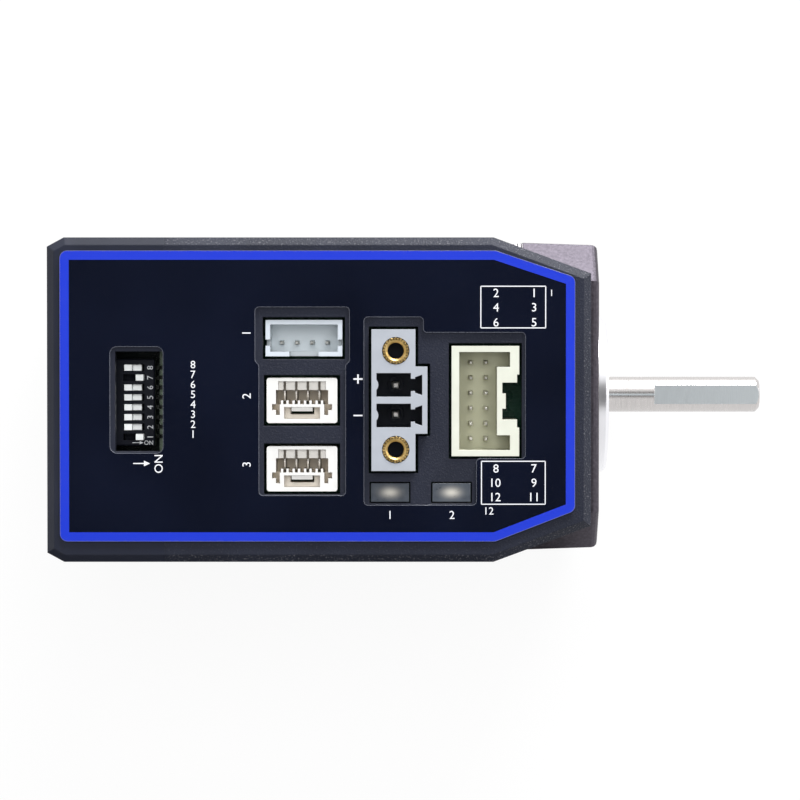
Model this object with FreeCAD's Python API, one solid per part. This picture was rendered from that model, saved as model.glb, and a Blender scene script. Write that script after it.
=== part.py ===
"""Closed-loop stepper motor with its drive in a housing on top, as separate pieces.

Units are millimetres. The origin is the centre of the front mounting face, on the
shaft's axis. +X runs out along the shaft, +Z out through the drive's cover, and the
motor's flat underside lies at the lowest Z.
"""
import FreeCAD, Part
import math
import os

# Motor frame
FRAME_WIDTH = 42.3
FRAME_CORNER_CUT = 5.0
BELL_DRAFT = 0.3
BELL_EDGE_RADIUS = 0.8
BELL_EDGE_STEPS = 3
FRONT_BELL_LENGTH = 10.3
STACK_LENGTH = 37.5
STACK_STEP = 0.12
REAR_BELL_LENGTH = 10.0
BELL_CAVITY_ACROSS = FRAME_WIDTH - 4.3
BELL_CAVITY_DEPTH = 4.5
HUB_DIAMETER = 20.0
HUB_HEIGHT = 1.2
PILOT_DIAMETER = 22.0
PILOT_HEIGHT = 2.0
PILOT_CHAMFER = 0.4
BELL_SHAFT_HOLE = 8.0

# Screws
SCREW_SPACING = FRAME_WIDTH - 11.3
M3_DIAMETER = 3.0
M3_CORE = 2.5
M3_HOLE = 3.2
M3_HEAD = 5.5
M3_HEAD_HEIGHT = 2.0
M25_DIAMETER = 2.5
M25_CORE = 2.05
M25_HOLE = 2.8
M25_HEAD = 4.5
M25_HEAD_HEIGHT = 1.3
HEAD_SINK = 0.2
HEAD_CLEARANCE = 0.15
SOCKET_DEPTH = 1.0
THREAD_CLEARANCE = 0.03
HIDDEN_SIDES = 8
HEAD_SIDES = 16
RING_SIDES = 32
FRONT_THREAD_FREE = 4.9
TAP_RUN_OUT = 0.35
SEAT_CLEARANCE = 0.02

# Stator and windings
POLE_COUNT = 8
STATOR_TEETH_PER_POLE = 6
TOOTH_PITCH_DEG = 7.2
TOOTH_TIP_DEG = 3.4
TOOTH_ROOT_DEG = 3.8
AIR_GAP = 0.1
ROTOR_DIAMETER = FRAME_WIDTH - 15.5
TOOTH_DEPTH = 0.75
SHOE_THICKNESS = 0.9
SHOE_ROOT_THICKNESS = 1.35
POLE_NECK_WIDTH = 5.6
YOKE_BORE = ROTOR_DIAMETER + 10.8
BOBBIN_FLOOR = 0.8
BOBBIN_HEIGHT = 3.9
BOBBIN_LINER = 0.5
BOBBIN_INNER_WALL = 0.6
BOBBIN_INNER_WALL_WIDTH = 10.8
BOBBIN_RING_THICKNESS = 0.7
COIL_THICKNESS = 1.9
COIL_END_HEIGHT = 2.2
COIL_RADIAL_DEPTH = 1.6
COIL_CORNER_CUT = 1.0
COIL_CLEARANCE = 0.05

# Shaft, bearings and rotor
SHAFT_DIAMETER = 5.0
SHAFT_FRONT_LENGTH = 24.0
SHAFT_END_CHAMFER = 0.5
SHAFT_FLAT_LENGTH = 15.0
SHAFT_ACROSS_FLAT = 4.6
SHAFT_SHOULDER_DIAMETER = 6.0
SHAFT_GROOVE_WIDTH = 1.0
SHAFT_GROOVE_DEPTH = 0.3
BEARING_OUTSIDE = 16.0
BEARING_WIDTH = 5.0
BEARING_INNER_RING = 7.4
BEARING_SHIELD_BORE = 7.9
FRONT_BEARING_INSET = 1.0
REAR_BEARING_INSET = 2.2
WASHER_SPACE = 0.6
WASHER_THICKNESS = 0.2
WASHER_WIDTH = 1.4
WASHER_WAVES = 3
WASHER_STEPS_PER_WAVE = 8
ROTOR_TEETH = 50
ROTOR_END_GAP = 1.7
ROTOR_MAGNET_THICKNESS = 3.5
ROTOR_MAGNET_DIAMETER = ROTOR_DIAMETER - 4.8

# Encoder
HOLDER_START = 1.5
HOLDER_DIAMETER = 8.0
HOLDER_GRIP = 3.0
ENCODER_MAGNET_DIAMETER = 6.0
ENCODER_MAGNET_THICKNESS = 2.5
ENCODER_GAP = 1.0
ENCODER_CHIP_SIZE = 5.0
ENCODER_CHIP_THICKNESS = 0.9
ENCODER_BOARD_WIDTH = 34.0
ENCODER_BOARD_LOW = -11.0
ENCODER_BOARD_HIGH = 12.0
BOARD_THICKNESS = 1.6
BOARD_CORNER_RADIUS = 1.0
REAR_SCREW_Y = 13.5
REAR_SCREW_GRIP = 4.6
SPACER_WALL = 0.8
RIBBON_WIDTH = 6.0
RIBBON_THICKNESS = 0.3
RIBBON_SOCKET_HEIGHT = 2.4
RIBBON_SOCKET_DEPTH = 1.8
RIBBON_SOCKET_WIDTH = 8.0

# Drive housing, seen from above
HOUSING_FRONT_X = -2.3
HOUSING_SEAM_X = -57.8
HOUSING_REAR_X = -73.2
HOUSING_WIDTH = FRAME_WIDTH
HOUSING_HEIGHT = 19.85
HOUSING_WALL = 2.0
HOUSING_TOP_WALL = 1.8
HOUSING_BEVEL = 1.0
HOUSING_BEVEL_DROP = 1.0
FRONT_SLANT_LENGTH = 12.7
FRONT_SLANT_DEPTH = 4.7
REAR_SLANT_LENGTH = 2.2
REAR_SLANT_DEPTH = 1.2
POST_DIAMETER = 5.6
FRONT_POST_X = -7.3
FRONT_POST_Y = HOUSING_WIDTH / 2 - 8.65
REAR_POST_X = -54.6
REAR_POST_Y = 10.0
HOUSING_SCREW_GRIP = 3.7
REAR_POST_DIAMETER = 8.0
HOLE_CLEARANCE = 0.35

# Cover label
LABEL_THICKNESS = 0.5
LABEL_REAR_X = -71.4
LABEL_FRONT_X = -4.45
LABEL_LEFT_Y = HOUSING_WIDTH / 2 - 1.75
LABEL_RIGHT_Y = 2.75 - HOUSING_WIDTH / 2
LABEL_SLANT_X = -14.8
LABEL_SLANT_LEFT_Y = LABEL_LEFT_Y - 3.45
LABEL_SLANT_RIGHT_Y = LABEL_RIGHT_Y + 4.0
LABEL_CORNER_RADIUS = 1.0
CUTOUT_RADIUS = 0.5

# Driver board and what cools it
BOARD_TOP_DEPTH = 7.2
BOARD_EDGE_GAP = 0.4
PIN_TAIL = 1.2
PLATE_THICKNESS = 1.5
PLATE_EDGE_GAP = 0.15
TRANSISTOR_LENGTH = 6.0
TRANSISTOR_WIDTH = 5.0
TRANSISTOR_HEIGHT = 1.0
TRANSISTOR_PITCH = 6.5
TRANSISTORS_PER_SIDE = 4
TRANSISTOR_Y = HOUSING_WIDTH / 2 - 6.15
TRANSISTOR_START_X = -42.0
THERMAL_PAD_THICKNESS = 1.0
CAPACITOR_DIAMETER = 6.3
CAPACITOR_HEIGHT = 4.6
CAPACITOR_BASE_HEIGHT = 0.6
CAPACITOR_Y = HOUSING_WIDTH / 2 - 5.85
CAPACITOR_PLACES = [(-51.0, 0.0), (-49.2, CAPACITOR_Y), (-49.2, -CAPACITOR_Y)]
CHIP_HEIGHT = 1.4
CHIP_PLACES = [(-38.5, CAPACITOR_Y, 7.0), (-29.5, TRANSISTOR_Y, 5.0), (-22.0, TRANSISTOR_Y, 5.0)]
LEAD_DIAMETER = 1.2
LEAD_PITCH = 1.6
LEAD_COUNT = 4
LEAD_X_FROM_STACK = 2.0
LEAD_SLOT_MARGIN = 0.6

# Window over the switch bank
SWITCH_REAR_X = HOUSING_REAR_X + 8.6
WINDOW_REAR_X = SWITCH_REAR_X - 0.25
WINDOW_FRONT_X = SWITCH_REAR_X + 6.6
WINDOW_HALF_LENGTH = 6.9
WINDOW_RADIUS = 0.9
WINDOW_LEDGE = 0.6
SWITCH_CENTRE_Y = -0.4
SWITCH_LENGTH_X = 5.2
SWITCH_LENGTH_Y = 11.4
SWITCH_HEIGHT = 3.0
SWITCH_STAND_OFF = 0.1
SWITCH_SKIN = 0.5
SWITCH_FLOOR = 0.5
SWITCH_EDGE_CHAMFER = 0.15
SLIDER_COUNT = 8
SLIDER_PITCH = 1.3
SLIDER_WIDTH = 0.8
SLIDER_SIDE_GAP = 0.05
SLIDER_END_GAP = 0.1
SLIDER_KNOB_LENGTH = 1.1
SLIDER_TONGUE_LENGTH = 1.15
SLIDER_TRAVEL = 1.5
SLIDER_KNOB_RISE = 0.2
SLIDER_TONGUE_GAP = 0.4
SLIDERS_ON = (1, 7)
SLOT_REAR_OFFSET = 1.05
TERMINAL_WIDTH = 0.5
TERMINAL_THICKNESS = 0.2
TERMINAL_REACH = 0.95
TERMINAL_FOOT = 0.5
TERMINAL_RISE = 1.1

# Signal header, two rows of pins
SIGNAL_X = -16.1
SIGNAL_Y = -0.15
SIGNAL_WIDTH = 8.8
SIGNAL_LENGTH = 14.35
SIGNAL_HEIGHT = 7.4
SIGNAL_END_WALL = 0.8
SIGNAL_BACK_WALL = 1.0
SIGNAL_FRONT_WALL = 1.2
SIGNAL_FLOOR = 1.5
SIGNAL_LATCH_SETBACK = 2.2
SIGNAL_LATCH_WALL = 0.7
SIGNAL_LATCH_HALF = 2.4
SIGNAL_SHELF_HALF = 4.45
SIGNAL_SHELF_STEP = 0.28
SIGNAL_MOUTH_HALF = 3.45
SIGNAL_NUB_HALF = 1.0
SIGNAL_NUB_DEPTH = 0.45
SIGNAL_ROWS = 6
SIGNAL_PIN_PITCH = 2.0
SIGNAL_PIN_COLUMNS = (-17.95, -15.95)
SIGNAL_PIN_HEIGHT = 5.2
HEADER_PIN = 0.5
PIN_TIP_LENGTH = 0.4
PIN_TIP_RATIO = 0.5

# Serial header, one row of pins
SERIAL_X = -39.7
SERIAL_Y = 8.03
SERIAL_LENGTH = 10.0
SERIAL_WIDTH = 4.75
SERIAL_HEIGHT = 6.8
SERIAL_WALL = 0.6
SERIAL_FLOOR = 1.2
SERIAL_PINS = 4
SERIAL_PIN_PITCH = 2.0
SERIAL_PIN_Y = 7.44
SERIAL_PIN_HEIGHT = 5.0
SERIAL_NOTCH_WIDTH = 0.8
SERIAL_NOTCH_DEPTH = 4.2
SERIAL_GAP_HALF = 1.9
SERIAL_GAP_DEPTH = 4.0

# Bus connectors, two alike
BUS_X = -39.95
BUS_PLACES_Y = (-0.08, -8.97)
BUS_LENGTH = 9.2
BUS_WIDTH = 5.9
BUS_HEIGHT = 7.0
BUS_CORNER_RADIUS = 0.35
BUS_SLOT_LENGTH = 6.8
BUS_SLOT_LOW = -0.5
BUS_SLOT_HIGH = 1.35
BUS_SLOT_DEPTH = 5.0
BUS_LEDGE_LENGTH = 6.2
BUS_LEDGE_HIGH = 2.5
BUS_LEDGE_DEPTH = 0.7
BUS_FORK_GAP = 0.4
BUS_FORK_WIDTH = 1.0
BUS_FORK_REACH = 0.5
BUS_CONTACTS = 4
BUS_CONTACT_PITCH = 1.5
BUS_CONTACT_WIDTH = 0.3
BUS_CONTACT_LOW = -0.1
BUS_CONTACT_RISE = 0.35
BUS_CONTACT_DROP = 1.4
BUS_ARM_X = 3.15
BUS_ARM_WIDTH = 0.5
BUS_ARM_LOW = -1.9
BUS_NUB_LENGTH = 0.5
BUS_NUB_LOW = -1.25
BUS_NUB_HIGH = -0.49
BUS_ARM_DEPTH = 3.5
BUS_LATCH_HALF = 2.33
BUS_LATCH_LOW = -2.4
BUS_LATCH_HIGH = -0.87
BUS_LATCH_DEPTH = 2.0
BUS_TONGUE_HALF = 1.37
BUS_TONGUE_LOW = -1.41
BUS_TONGUE_DROP = 0.25
BUS_TONGUE_GAP = 0.16
BUS_TONGUE_GAP_LOW = 0.42

# Power header
POWER_REAR_X = -30.9
POWER_FRONT_X = -25.2
POWER_NOSE_X = -23.65
POWER_NOSE_HALF = 4.35
POWER_LENGTH = 18.35
POWER_HEIGHT = 9.2
POWER_PITCH = 3.81
POWER_PIN = 1.0
POWER_PIN_X = -27.75
POWER_PIN_DROP = 2.0
POWER_CAVITY_REAR_X = -30.25
POWER_CAVITY_FRONT_X = -25.8
POWER_CAVITY_WIDTH = 3.05
POWER_CAVITY_CENTRE = 1.98
POWER_CAVITY_FLOOR = 1.2
POWER_NECK_HALF = 0.79
POWER_KEY_REAR_X = -25.25
POWER_KEY_FRONT_X = -24.33
POWER_KEY_REAR_HALF = 1.0
POWER_KEY_FRONT_HALF = 1.32
POWER_RIB_RADIUS = 1.0
POWER_RIB_PROUD = 0.25
POWER_PIN_BOSS = 2.2
POWER_PIN_BOSS_HEIGHT = 1.2
INSERT_SPACING = 12.8
INSERT_X = -27.75
INSERT_OUTSIDE = 3.5
INSERT_ROOT = 3.22
INSERT_BORE = 2.1
INSERT_COUNTERSINK = 2.6
INSERT_LENGTH = 5.0
INSERT_KNURLS = 16
INSERT_PROUD = 0.1

# Indicator lights
LIGHT_LENGTH = 4.95
LIGHT_WIDTH = 2.4
LIGHT_PLACES_X = (-28.5, -20.5)
LIGHT_Y = -12.05
LIGHT_CAP_DEPTH = 2.6
LIGHT_STEM_LENGTH = 3.0
LIGHT_STEM_WIDTH = 1.6
LIGHT_GAP = 0.3
LED_LENGTH = 2.0
LED_WIDTH = 1.25
LED_HEIGHT = 0.8

# Levels and places worked out from the sizes above
HALF_FRAME = FRAME_WIDTH / 2
STACK_FRONT_X = -FRONT_BELL_LENGTH
STACK_REAR_X = STACK_FRONT_X - STACK_LENGTH
MOTOR_REAR_X = STACK_REAR_X - REAR_BELL_LENGTH
FRONT_BEARING_X = -FRONT_BEARING_INSET
FRONT_BEARING_END = FRONT_BEARING_X - BEARING_WIDTH
REAR_BEARING_END = MOTOR_REAR_X + REAR_BEARING_INSET
REAR_BEARING_X = REAR_BEARING_END + BEARING_WIDTH
ROTOR_FRONT_X = STACK_FRONT_X - ROTOR_END_GAP
ROTOR_REAR_X = STACK_REAR_X + ROTOR_END_GAP
HOLDER_X = MOTOR_REAR_X - HOLDER_START
SHAFT_REAR_X = HOLDER_X - HOLDER_GRIP
MAGNET_X = SHAFT_REAR_X - SEAT_CLEARANCE
MAGNET_END = MAGNET_X - ENCODER_MAGNET_THICKNESS
ENCODER_CHIP_X = MAGNET_END - ENCODER_GAP
ENCODER_BOARD_X = ENCODER_CHIP_X - ENCODER_CHIP_THICKNESS
ENCODER_BOARD_END = ENCODER_BOARD_X - BOARD_THICKNESS
MOTOR_TOP = HALF_FRAME
COVER_TOP = MOTOR_TOP + HOUSING_HEIGHT
COVER_UNDERSIDE = COVER_TOP - HOUSING_TOP_WALL
LABEL_TOP = COVER_TOP + LABEL_THICKNESS
BOARD_TOP = COVER_TOP - BOARD_TOP_DEPTH
BOARD_BOTTOM = BOARD_TOP - BOARD_THICKNESS
PLATE_TOP = MOTOR_TOP + PLATE_THICKNESS
RIB_TOP = BOARD_BOTTOM - TRANSISTOR_HEIGHT - THERMAL_PAD_THICKNESS
FRAME_SCREWS = [(y * SCREW_SPACING / 2, z * SCREW_SPACING / 2) for y in (1, -1) for z in (1, -1)]
HOUSING_SCREWS = [(x, side * y)
                  for x, y in ((FRONT_POST_X, FRONT_POST_Y), (REAR_POST_X, REAR_POST_Y))
                  for side in (1, -1)]
REAR_SCREWS = [(side * REAR_SCREW_Y, 0.0) for side in (1, -1)]
LEAD_X = STACK_REAR_X - LEAD_X_FROM_STACK


# General shapes

def box(x_low, x_high, y_low, y_high, z_low, z_high):
    """Block between two corners."""
    corner = FreeCAD.Vector(x_low, y_low, z_low)
    return Part.makeBox(x_high - x_low, y_high - y_low, z_high - z_low, corner)


def rod_x(diameter, x_start, x_end, y=0.0, z=0.0):
    """Cylinder along X."""
    low = min(x_start, x_end)
    base = FreeCAD.Vector(low, y, z)
    return Part.makeCylinder(diameter / 2, abs(x_end - x_start), base, FreeCAD.Vector(1, 0, 0))


def rod_z(diameter, z_low, z_high, x, y):
    """Cylinder along Z."""
    base = FreeCAD.Vector(x, y, z_low)
    return Part.makeCylinder(diameter / 2, z_high - z_low, base)


def bar_x(diameter, x_start, x_end, y=0.0, z=0.0, sides=HIDDEN_SIDES):
    """Rod along X with flat sides, for small rods that nothing shows. Its corners lie on the diameter."""
    low = min(x_start, x_end)
    corners = [polar(diameter / 2, 360.0 * (k + 0.5) / sides) for k in range(sides)]
    wire = outline([FreeCAD.Vector(low, y + dy, z + dz) for dy, dz in corners])
    return Part.Face(wire).extrude(FreeCAD.Vector(abs(x_end - x_start), 0, 0))


def bar_z(diameter, z_low, z_high, x, y, sides=HIDDEN_SIDES):
    """Rod along Z with flat sides, for small rods that nothing shows. Its corners lie on the diameter."""
    corners = [polar(diameter / 2, 360.0 * (k + 0.5) / sides) for k in range(sides)]
    return slab([(x + dx, y + dy) for dx, dy in corners], z_low, z_high)


def hidden_bore_x(diameter, x_start, x_end, y=0.0, z=0.0, sides=HIDDEN_SIDES):
    """Flat-sided hole along X whose flats lie on the diameter, so a rod of that size passes."""
    return bar_x(diameter / math.cos(math.pi / sides), x_start, x_end, y, z, sides)


def hidden_bore_z(diameter, z_low, z_high, x, y):
    """Flat-sided hole along Z whose flats lie on the diameter."""
    return bar_z(diameter / math.cos(math.pi / HIDDEN_SIDES), z_low, z_high, x, y)


def hexagon_spacer_x(bore, x_start, x_end, y, z):
    """Hexagonal spacer along X round a screw."""
    outside = (bore + 2 * SPACER_WALL) / math.cos(math.pi / 6)
    return bar_x(outside, x_start, x_end, y, z, 6).cut(hidden_bore_x(bore, x_start, x_end, y, z))


def hexagon_spacer_z(bore, z_low, z_high, x, y):
    """Hexagonal spacer along Z round a screw."""
    outside = (bore + 2 * SPACER_WALL) / math.cos(math.pi / 6)
    return bar_z(outside, z_low, z_high, x, y, 6).cut(hidden_bore_z(bore, z_low, z_high, x, y))


def outline(points):
    """Closed wire of straight edges through the points."""
    return Part.makePolygon(points + [points[0]])


def sewn(faces):
    """Solid inside a closed set of flat faces, the first of which faces outwards."""
    shell = Part.makeShell(faces)
    shell.sewShape()
    return Part.makeSolid(shell)


def frustum(low, high):
    """Solid between two polygons, both anticlockwise from the high end, joined by flat sides."""
    faces = [Part.Face(outline(low[::-1])), Part.Face(outline(high))]
    count = len(low)
    for index in range(count):
        after = (index + 1) % count
        faces.append(Part.Face(outline([low[index], low[after], high[after], high[index]])))
    return sewn(faces)


def slab(points, z_low, z_high):
    """Plate with a straight-sided outline in X and Y."""
    wire = outline([FreeCAD.Vector(x, y, z_low) for x, y in points])
    return Part.Face(wire).extrude(FreeCAD.Vector(0, 0, z_high - z_low))


def rounded_slab(points, radius, z_low, z_high):
    """Plate whose outline in X and Y has every corner rounded."""
    count = len(points)
    edges = []
    last_end = None
    first_start = None
    for index in range(count):
        before = FreeCAD.Vector(*points[index - 1], z_low)
        corner = FreeCAD.Vector(*points[index], z_low)
        after = FreeCAD.Vector(*points[(index + 1) % count], z_low)
        to_before = (before - corner).normalize()
        to_after = (after - corner).normalize()
        half_angle = to_before.getAngle(to_after) / 2
        start = corner + to_before * (radius / math.tan(half_angle))
        end = corner + to_after * (radius / math.tan(half_angle))
        bisector = (to_before + to_after).normalize()
        centre = corner + bisector * (radius / math.sin(half_angle))
        middle = centre - bisector * radius
        if last_end is None:
            first_start = start
        else:
            edges.append(Part.makeLine(last_end, start))
        edges.append(Part.Arc(start, middle, end).toShape())
        last_end = end
    edges.append(Part.makeLine(last_end, first_start))
    return Part.Face(Part.Wire(edges)).extrude(FreeCAD.Vector(0, 0, z_high - z_low))


def rectangle(x_low, x_high, y_low, y_high):
    """Corners of a rectangle, in order."""
    return [(x_low, y_low), (x_high, y_low), (x_high, y_high), (x_low, y_high)]


def inset(points, distance):
    """Polygon moved inwards by the same distance on every side (points run anticlockwise)."""
    moved = []
    count = len(points)
    for index in range(count):
        ax, ay = points[index - 1]
        bx, by = points[index]
        cx, cy = points[(index + 1) % count]
        length_in = math.hypot(bx - ax, by - ay)
        length_out = math.hypot(cx - bx, cy - by)
        normal_in = (-(by - ay) / length_in, (bx - ax) / length_in)
        normal_out = (-(cy - by) / length_out, (cx - bx) / length_out)
        scale = distance / (1 + normal_in[0] * normal_out[0] + normal_in[1] * normal_out[1])
        moved.append((bx + scale * (normal_in[0] + normal_out[0]),
                      by + scale * (normal_in[1] + normal_out[1])))
    return moved


def frame_octagon(width, x, step_in=0.0):
    """Corners of the motor's square section, each corner cut at 45 degrees, moved in by a step."""
    half = width / 2
    short = half - FRAME_CORNER_CUT
    corners = [(half, short), (short, half), (-short, half), (-half, short),
               (-half, -short), (-short, -half), (short, -half), (half, -short)]
    return [FreeCAD.Vector(x, y, z) for y, z in inset(corners, step_in)]


def frame_prism(width, x_start, x_end):
    """Straight length of the motor's section."""
    face = Part.Face(outline(frame_octagon(width, x_start)))
    return face.extrude(FreeCAD.Vector(x_end - x_start, 0, 0))


def octagon_bar(across, x_start, x_end):
    """Regular eight-sided bar on the shaft's axis, with a flat facing every pole."""
    return bar_x(across / math.cos(math.pi / POLE_COUNT), x_start, x_end, 0.0, 0.0, POLE_COUNT)


def turned(profile):
    """Solid turned about the shaft's axis from points given as (x, radius)."""
    wire = outline([FreeCAD.Vector(x, 0, radius) for x, radius in profile])
    return Part.Face(wire).revolve(FreeCAD.Vector(0, 0, 0), FreeCAD.Vector(1, 0, 0), 360)


def polar(radius, degrees):
    """Point in the plane across the shaft, as (y, z)."""
    angle = math.radians(degrees)
    return radius * math.cos(angle), radius * math.sin(angle)


def around_shaft(shape, degrees):
    """Copy of a shape turned about the shaft's axis."""
    copy = shape.copy()
    copy.rotate(FreeCAD.Vector(0, 0, 0), FreeCAD.Vector(1, 0, 0), degrees)
    return copy


def moved(shape, x=0.0, y=0.0, z=0.0):
    """Copy of a shape carried along by an offset."""
    copy = shape.copy()
    copy.translate(FreeCAD.Vector(x, y, z))
    return copy


def cut_all(shape, tools):
    """Shape with every tool cut out of it, and its flat faces joined up."""
    return shape.cut(tools).removeSplitter()


def fuse_all(shapes):
    """One solid out of touching shapes."""
    return shapes[0].fuse(shapes[1:]).removeSplitter()


def socket_screw_x(head_diameter, head_height, shank, core, x_head, x_tip, x_thread, y, z):
    """Screw along X with its head towards -X: plain shank, then thread core up to the tip."""
    head = bar_x(head_diameter, x_head - head_height, x_head, y, z, HEAD_SIDES)
    body = bar_x(shank, x_head, x_thread, y, z)
    thread = bar_x(core, x_thread, x_tip, y, z)
    hexagon = Part.makePolygon([FreeCAD.Vector(x_head - head_height, y + py, z + pz)
                                for py, pz in (polar(shank / 2, 60 * k) for k in range(7))])
    key = Part.Face(hexagon).extrude(FreeCAD.Vector(SOCKET_DEPTH, 0, 0))
    return cut_all(fuse_all([head, body, thread]), [key])


# Motor

def front_bell():
    """Cast front end: mounting face, pilot boss, bearing seat and tapped corner holes."""
    front_width = FRAME_WIDTH - 2 * BELL_DRAFT
    sections = [frame_octagon(FRAME_WIDTH, STACK_FRONT_X)]
    for step in range(BELL_EDGE_STEPS + 1):
        angle = math.pi / 2 * step / BELL_EDGE_STEPS
        sections.append(frame_octagon(front_width, BELL_EDGE_RADIUS * (math.sin(angle) - 1),
                                      BELL_EDGE_RADIUS * (1 - math.cos(angle))))
    lengths = [frustum(low, high) for low, high in zip(sections, sections[1:])]
    pilot = turned([(-1.0, 0), (PILOT_HEIGHT, 0),
                    (PILOT_HEIGHT, PILOT_DIAMETER / 2 - PILOT_CHAMFER),
                    (PILOT_HEIGHT - PILOT_CHAMFER, PILOT_DIAMETER / 2),
                    (-1.0, PILOT_DIAMETER / 2)])
    cavity_end = STACK_FRONT_X + BELL_CAVITY_DEPTH
    hub = bar_x(HUB_DIAMETER, cavity_end - HUB_HEIGHT, cavity_end, sides=HEAD_SIDES)
    cavity = octagon_bar(BELL_CAVITY_ACROSS, STACK_FRONT_X, cavity_end).cut(hub)
    pocket = hidden_bore_x(BEARING_OUTSIDE + 2 * SEAT_CLEARANCE, STACK_FRONT_X, FRONT_BEARING_X,
                           sides=RING_SIDES)
    shaft_hole = rod_x(BELL_SHAFT_HOLE, FRONT_BEARING_X, PILOT_HEIGHT)
    mount_depth = TAP_RUN_OUT - FRONT_THREAD_FREE
    taps = [rod_x(M3_CORE, mount_depth, 0, y, z) for y, z in FRAME_SCREWS]
    taps += [hidden_bore_x(M3_CORE, STACK_FRONT_X, mount_depth, y, z) for y, z in FRAME_SCREWS]
    cover_taps = [hidden_bore_z(M25_CORE, MOTOR_TOP - HOUSING_SCREW_GRIP - TAP_RUN_OUT, MOTOR_TOP, x, y)
                  for x, y in HOUSING_SCREWS if x == FRONT_POST_X]
    return cut_all(fuse_all(lengths + [pilot]), [cavity, pocket, shaft_hole] + taps + cover_taps)


def rear_bell():
    """Cast rear end: bearing seat, counterbored screw holes and the slot for the leads."""
    body = frame_prism(FRAME_WIDTH, MOTOR_REAR_X, STACK_REAR_X)
    cavity_end = STACK_REAR_X - BELL_CAVITY_DEPTH
    hub = bar_x(HUB_DIAMETER, cavity_end, cavity_end + HUB_HEIGHT, sides=HEAD_SIDES)
    cavity = octagon_bar(BELL_CAVITY_ACROSS, cavity_end, STACK_REAR_X).cut(hub)
    pocket_end = REAR_BEARING_END - WASHER_SPACE
    pocket = hidden_bore_x(BEARING_OUTSIDE + 2 * SEAT_CLEARANCE, pocket_end, STACK_REAR_X,
                           sides=RING_SIDES)
    shaft_hole = hidden_bore_x(BELL_SHAFT_HOLE, MOTOR_REAR_X, pocket_end, sides=HEAD_SIDES)
    holes = [hidden_bore_x(M3_HOLE, MOTOR_REAR_X, STACK_REAR_X, y, z) for y, z in FRAME_SCREWS]
    sinks = [hidden_bore_x(M3_HEAD + 2 * HEAD_CLEARANCE, MOTOR_REAR_X,
                           MOTOR_REAR_X + M3_HEAD_HEIGHT + HEAD_SINK, y, z, HEAD_SIDES)
             for y, z in FRAME_SCREWS]
    taps = [hidden_bore_x(M3_CORE, MOTOR_REAR_X, MOTOR_REAR_X + REAR_SCREW_GRIP + TAP_RUN_OUT, y, z)
            for y, z in REAR_SCREWS]
    cover_taps = [hidden_bore_z(M25_CORE, MOTOR_TOP - HOUSING_SCREW_GRIP - TAP_RUN_OUT, MOTOR_TOP, x, y)
                  for x, y in HOUSING_SCREWS if x == REAR_POST_X]
    tools = [cavity, pocket, shaft_hole, lead_slot(BELL_CAVITY_ACROSS / 2 - 1.0, MOTOR_TOP)]
    return cut_all(body, tools + holes + sinks + taps + cover_taps)


def lead_slot(z_low, z_high):
    """Opening that the winding leads pass up through."""
    half_length = (LEAD_COUNT - 1) * LEAD_PITCH / 2 + LEAD_DIAMETER / 2 + LEAD_SLOT_MARGIN
    half_width = LEAD_DIAMETER / 2 + LEAD_SLOT_MARGIN
    return box(LEAD_X - half_width, LEAD_X + half_width, -half_length, half_length, z_low, z_high)


def stator_stack():
    """Laminated stack: eight poles with toothed faces inside a square yoke."""
    stack = frame_prism(FRAME_WIDTH - 2 * STACK_STEP, STACK_REAR_X, STACK_FRONT_X)
    bore_face = Part.Face(Part.Wire(stator_bore_edges(STACK_REAR_X)))
    bore = bore_face.extrude(FreeCAD.Vector(STACK_LENGTH, 0, 0))
    holes = [hidden_bore_x(M3_HOLE, STACK_REAR_X, STACK_FRONT_X, y, z) for y, z in FRAME_SCREWS]
    return cut_all(stack, [bore] + holes)


def stator_bore_edges(x):
    """Edges of the stator's bore: teeth, shoes and necks by lines, yoke by arcs."""
    tip = ROTOR_DIAMETER / 2 + AIR_GAP
    root = tip + TOOTH_DEPTH
    shoe = root + SHOE_THICKNESS
    neck_half = POLE_NECK_WIDTH / 2
    yoke = YOKE_BORE / 2
    span = (STATOR_TEETH_PER_POLE - 1) / 2 * TOOTH_PITCH_DEG
    edges = []
    first = None
    last = None
    for pole in range(POLE_COUNT):
        turn = 360.0 / POLE_COUNT * pole
        neck_angle = math.degrees(math.asin(neck_half / yoke))
        shoe_root = math.hypot(root + SHOE_ROOT_THICKNESS, neck_half)
        shoe_angle = math.degrees(math.atan2(neck_half, root + SHOE_ROOT_THICKNESS))
        points = [polar(yoke, turn - neck_angle), polar(shoe_root, turn - shoe_angle),
                  polar(shoe, turn - span - TOOTH_ROOT_DEG / 2)]
        for tooth in range(STATOR_TEETH_PER_POLE):
            centre = turn - span + tooth * TOOTH_PITCH_DEG
            if tooth > 0:
                points.append(polar(root, centre - TOOTH_ROOT_DEG / 2))
            points.append(polar(tip, centre - TOOTH_TIP_DEG / 2))
            points.append(polar(tip, centre + TOOTH_TIP_DEG / 2))
            if tooth < STATOR_TEETH_PER_POLE - 1:
                points.append(polar(root, centre + TOOTH_ROOT_DEG / 2))
        points += [polar(shoe, turn + span + TOOTH_ROOT_DEG / 2), polar(shoe_root, turn + shoe_angle),
                   polar(yoke, turn + neck_angle)]
        vectors = [FreeCAD.Vector(x, y, z) for y, z in points]
        if first is None:
            first = vectors[0]
        else:
            middle = FreeCAD.Vector(x, *polar(yoke, turn - 180.0 / POLE_COUNT))
            edges.append(Part.Arc(last, middle, vectors[0]).toShape())
        edges += [Part.makeLine(a, b) for a, b in zip(vectors, vectors[1:])]
        last = vectors[-1]
    middle = FreeCAD.Vector(x, *polar(yoke, -180.0 / POLE_COUNT))
    edges.append(Part.Arc(last, middle, first).toShape())
    return edges


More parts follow.
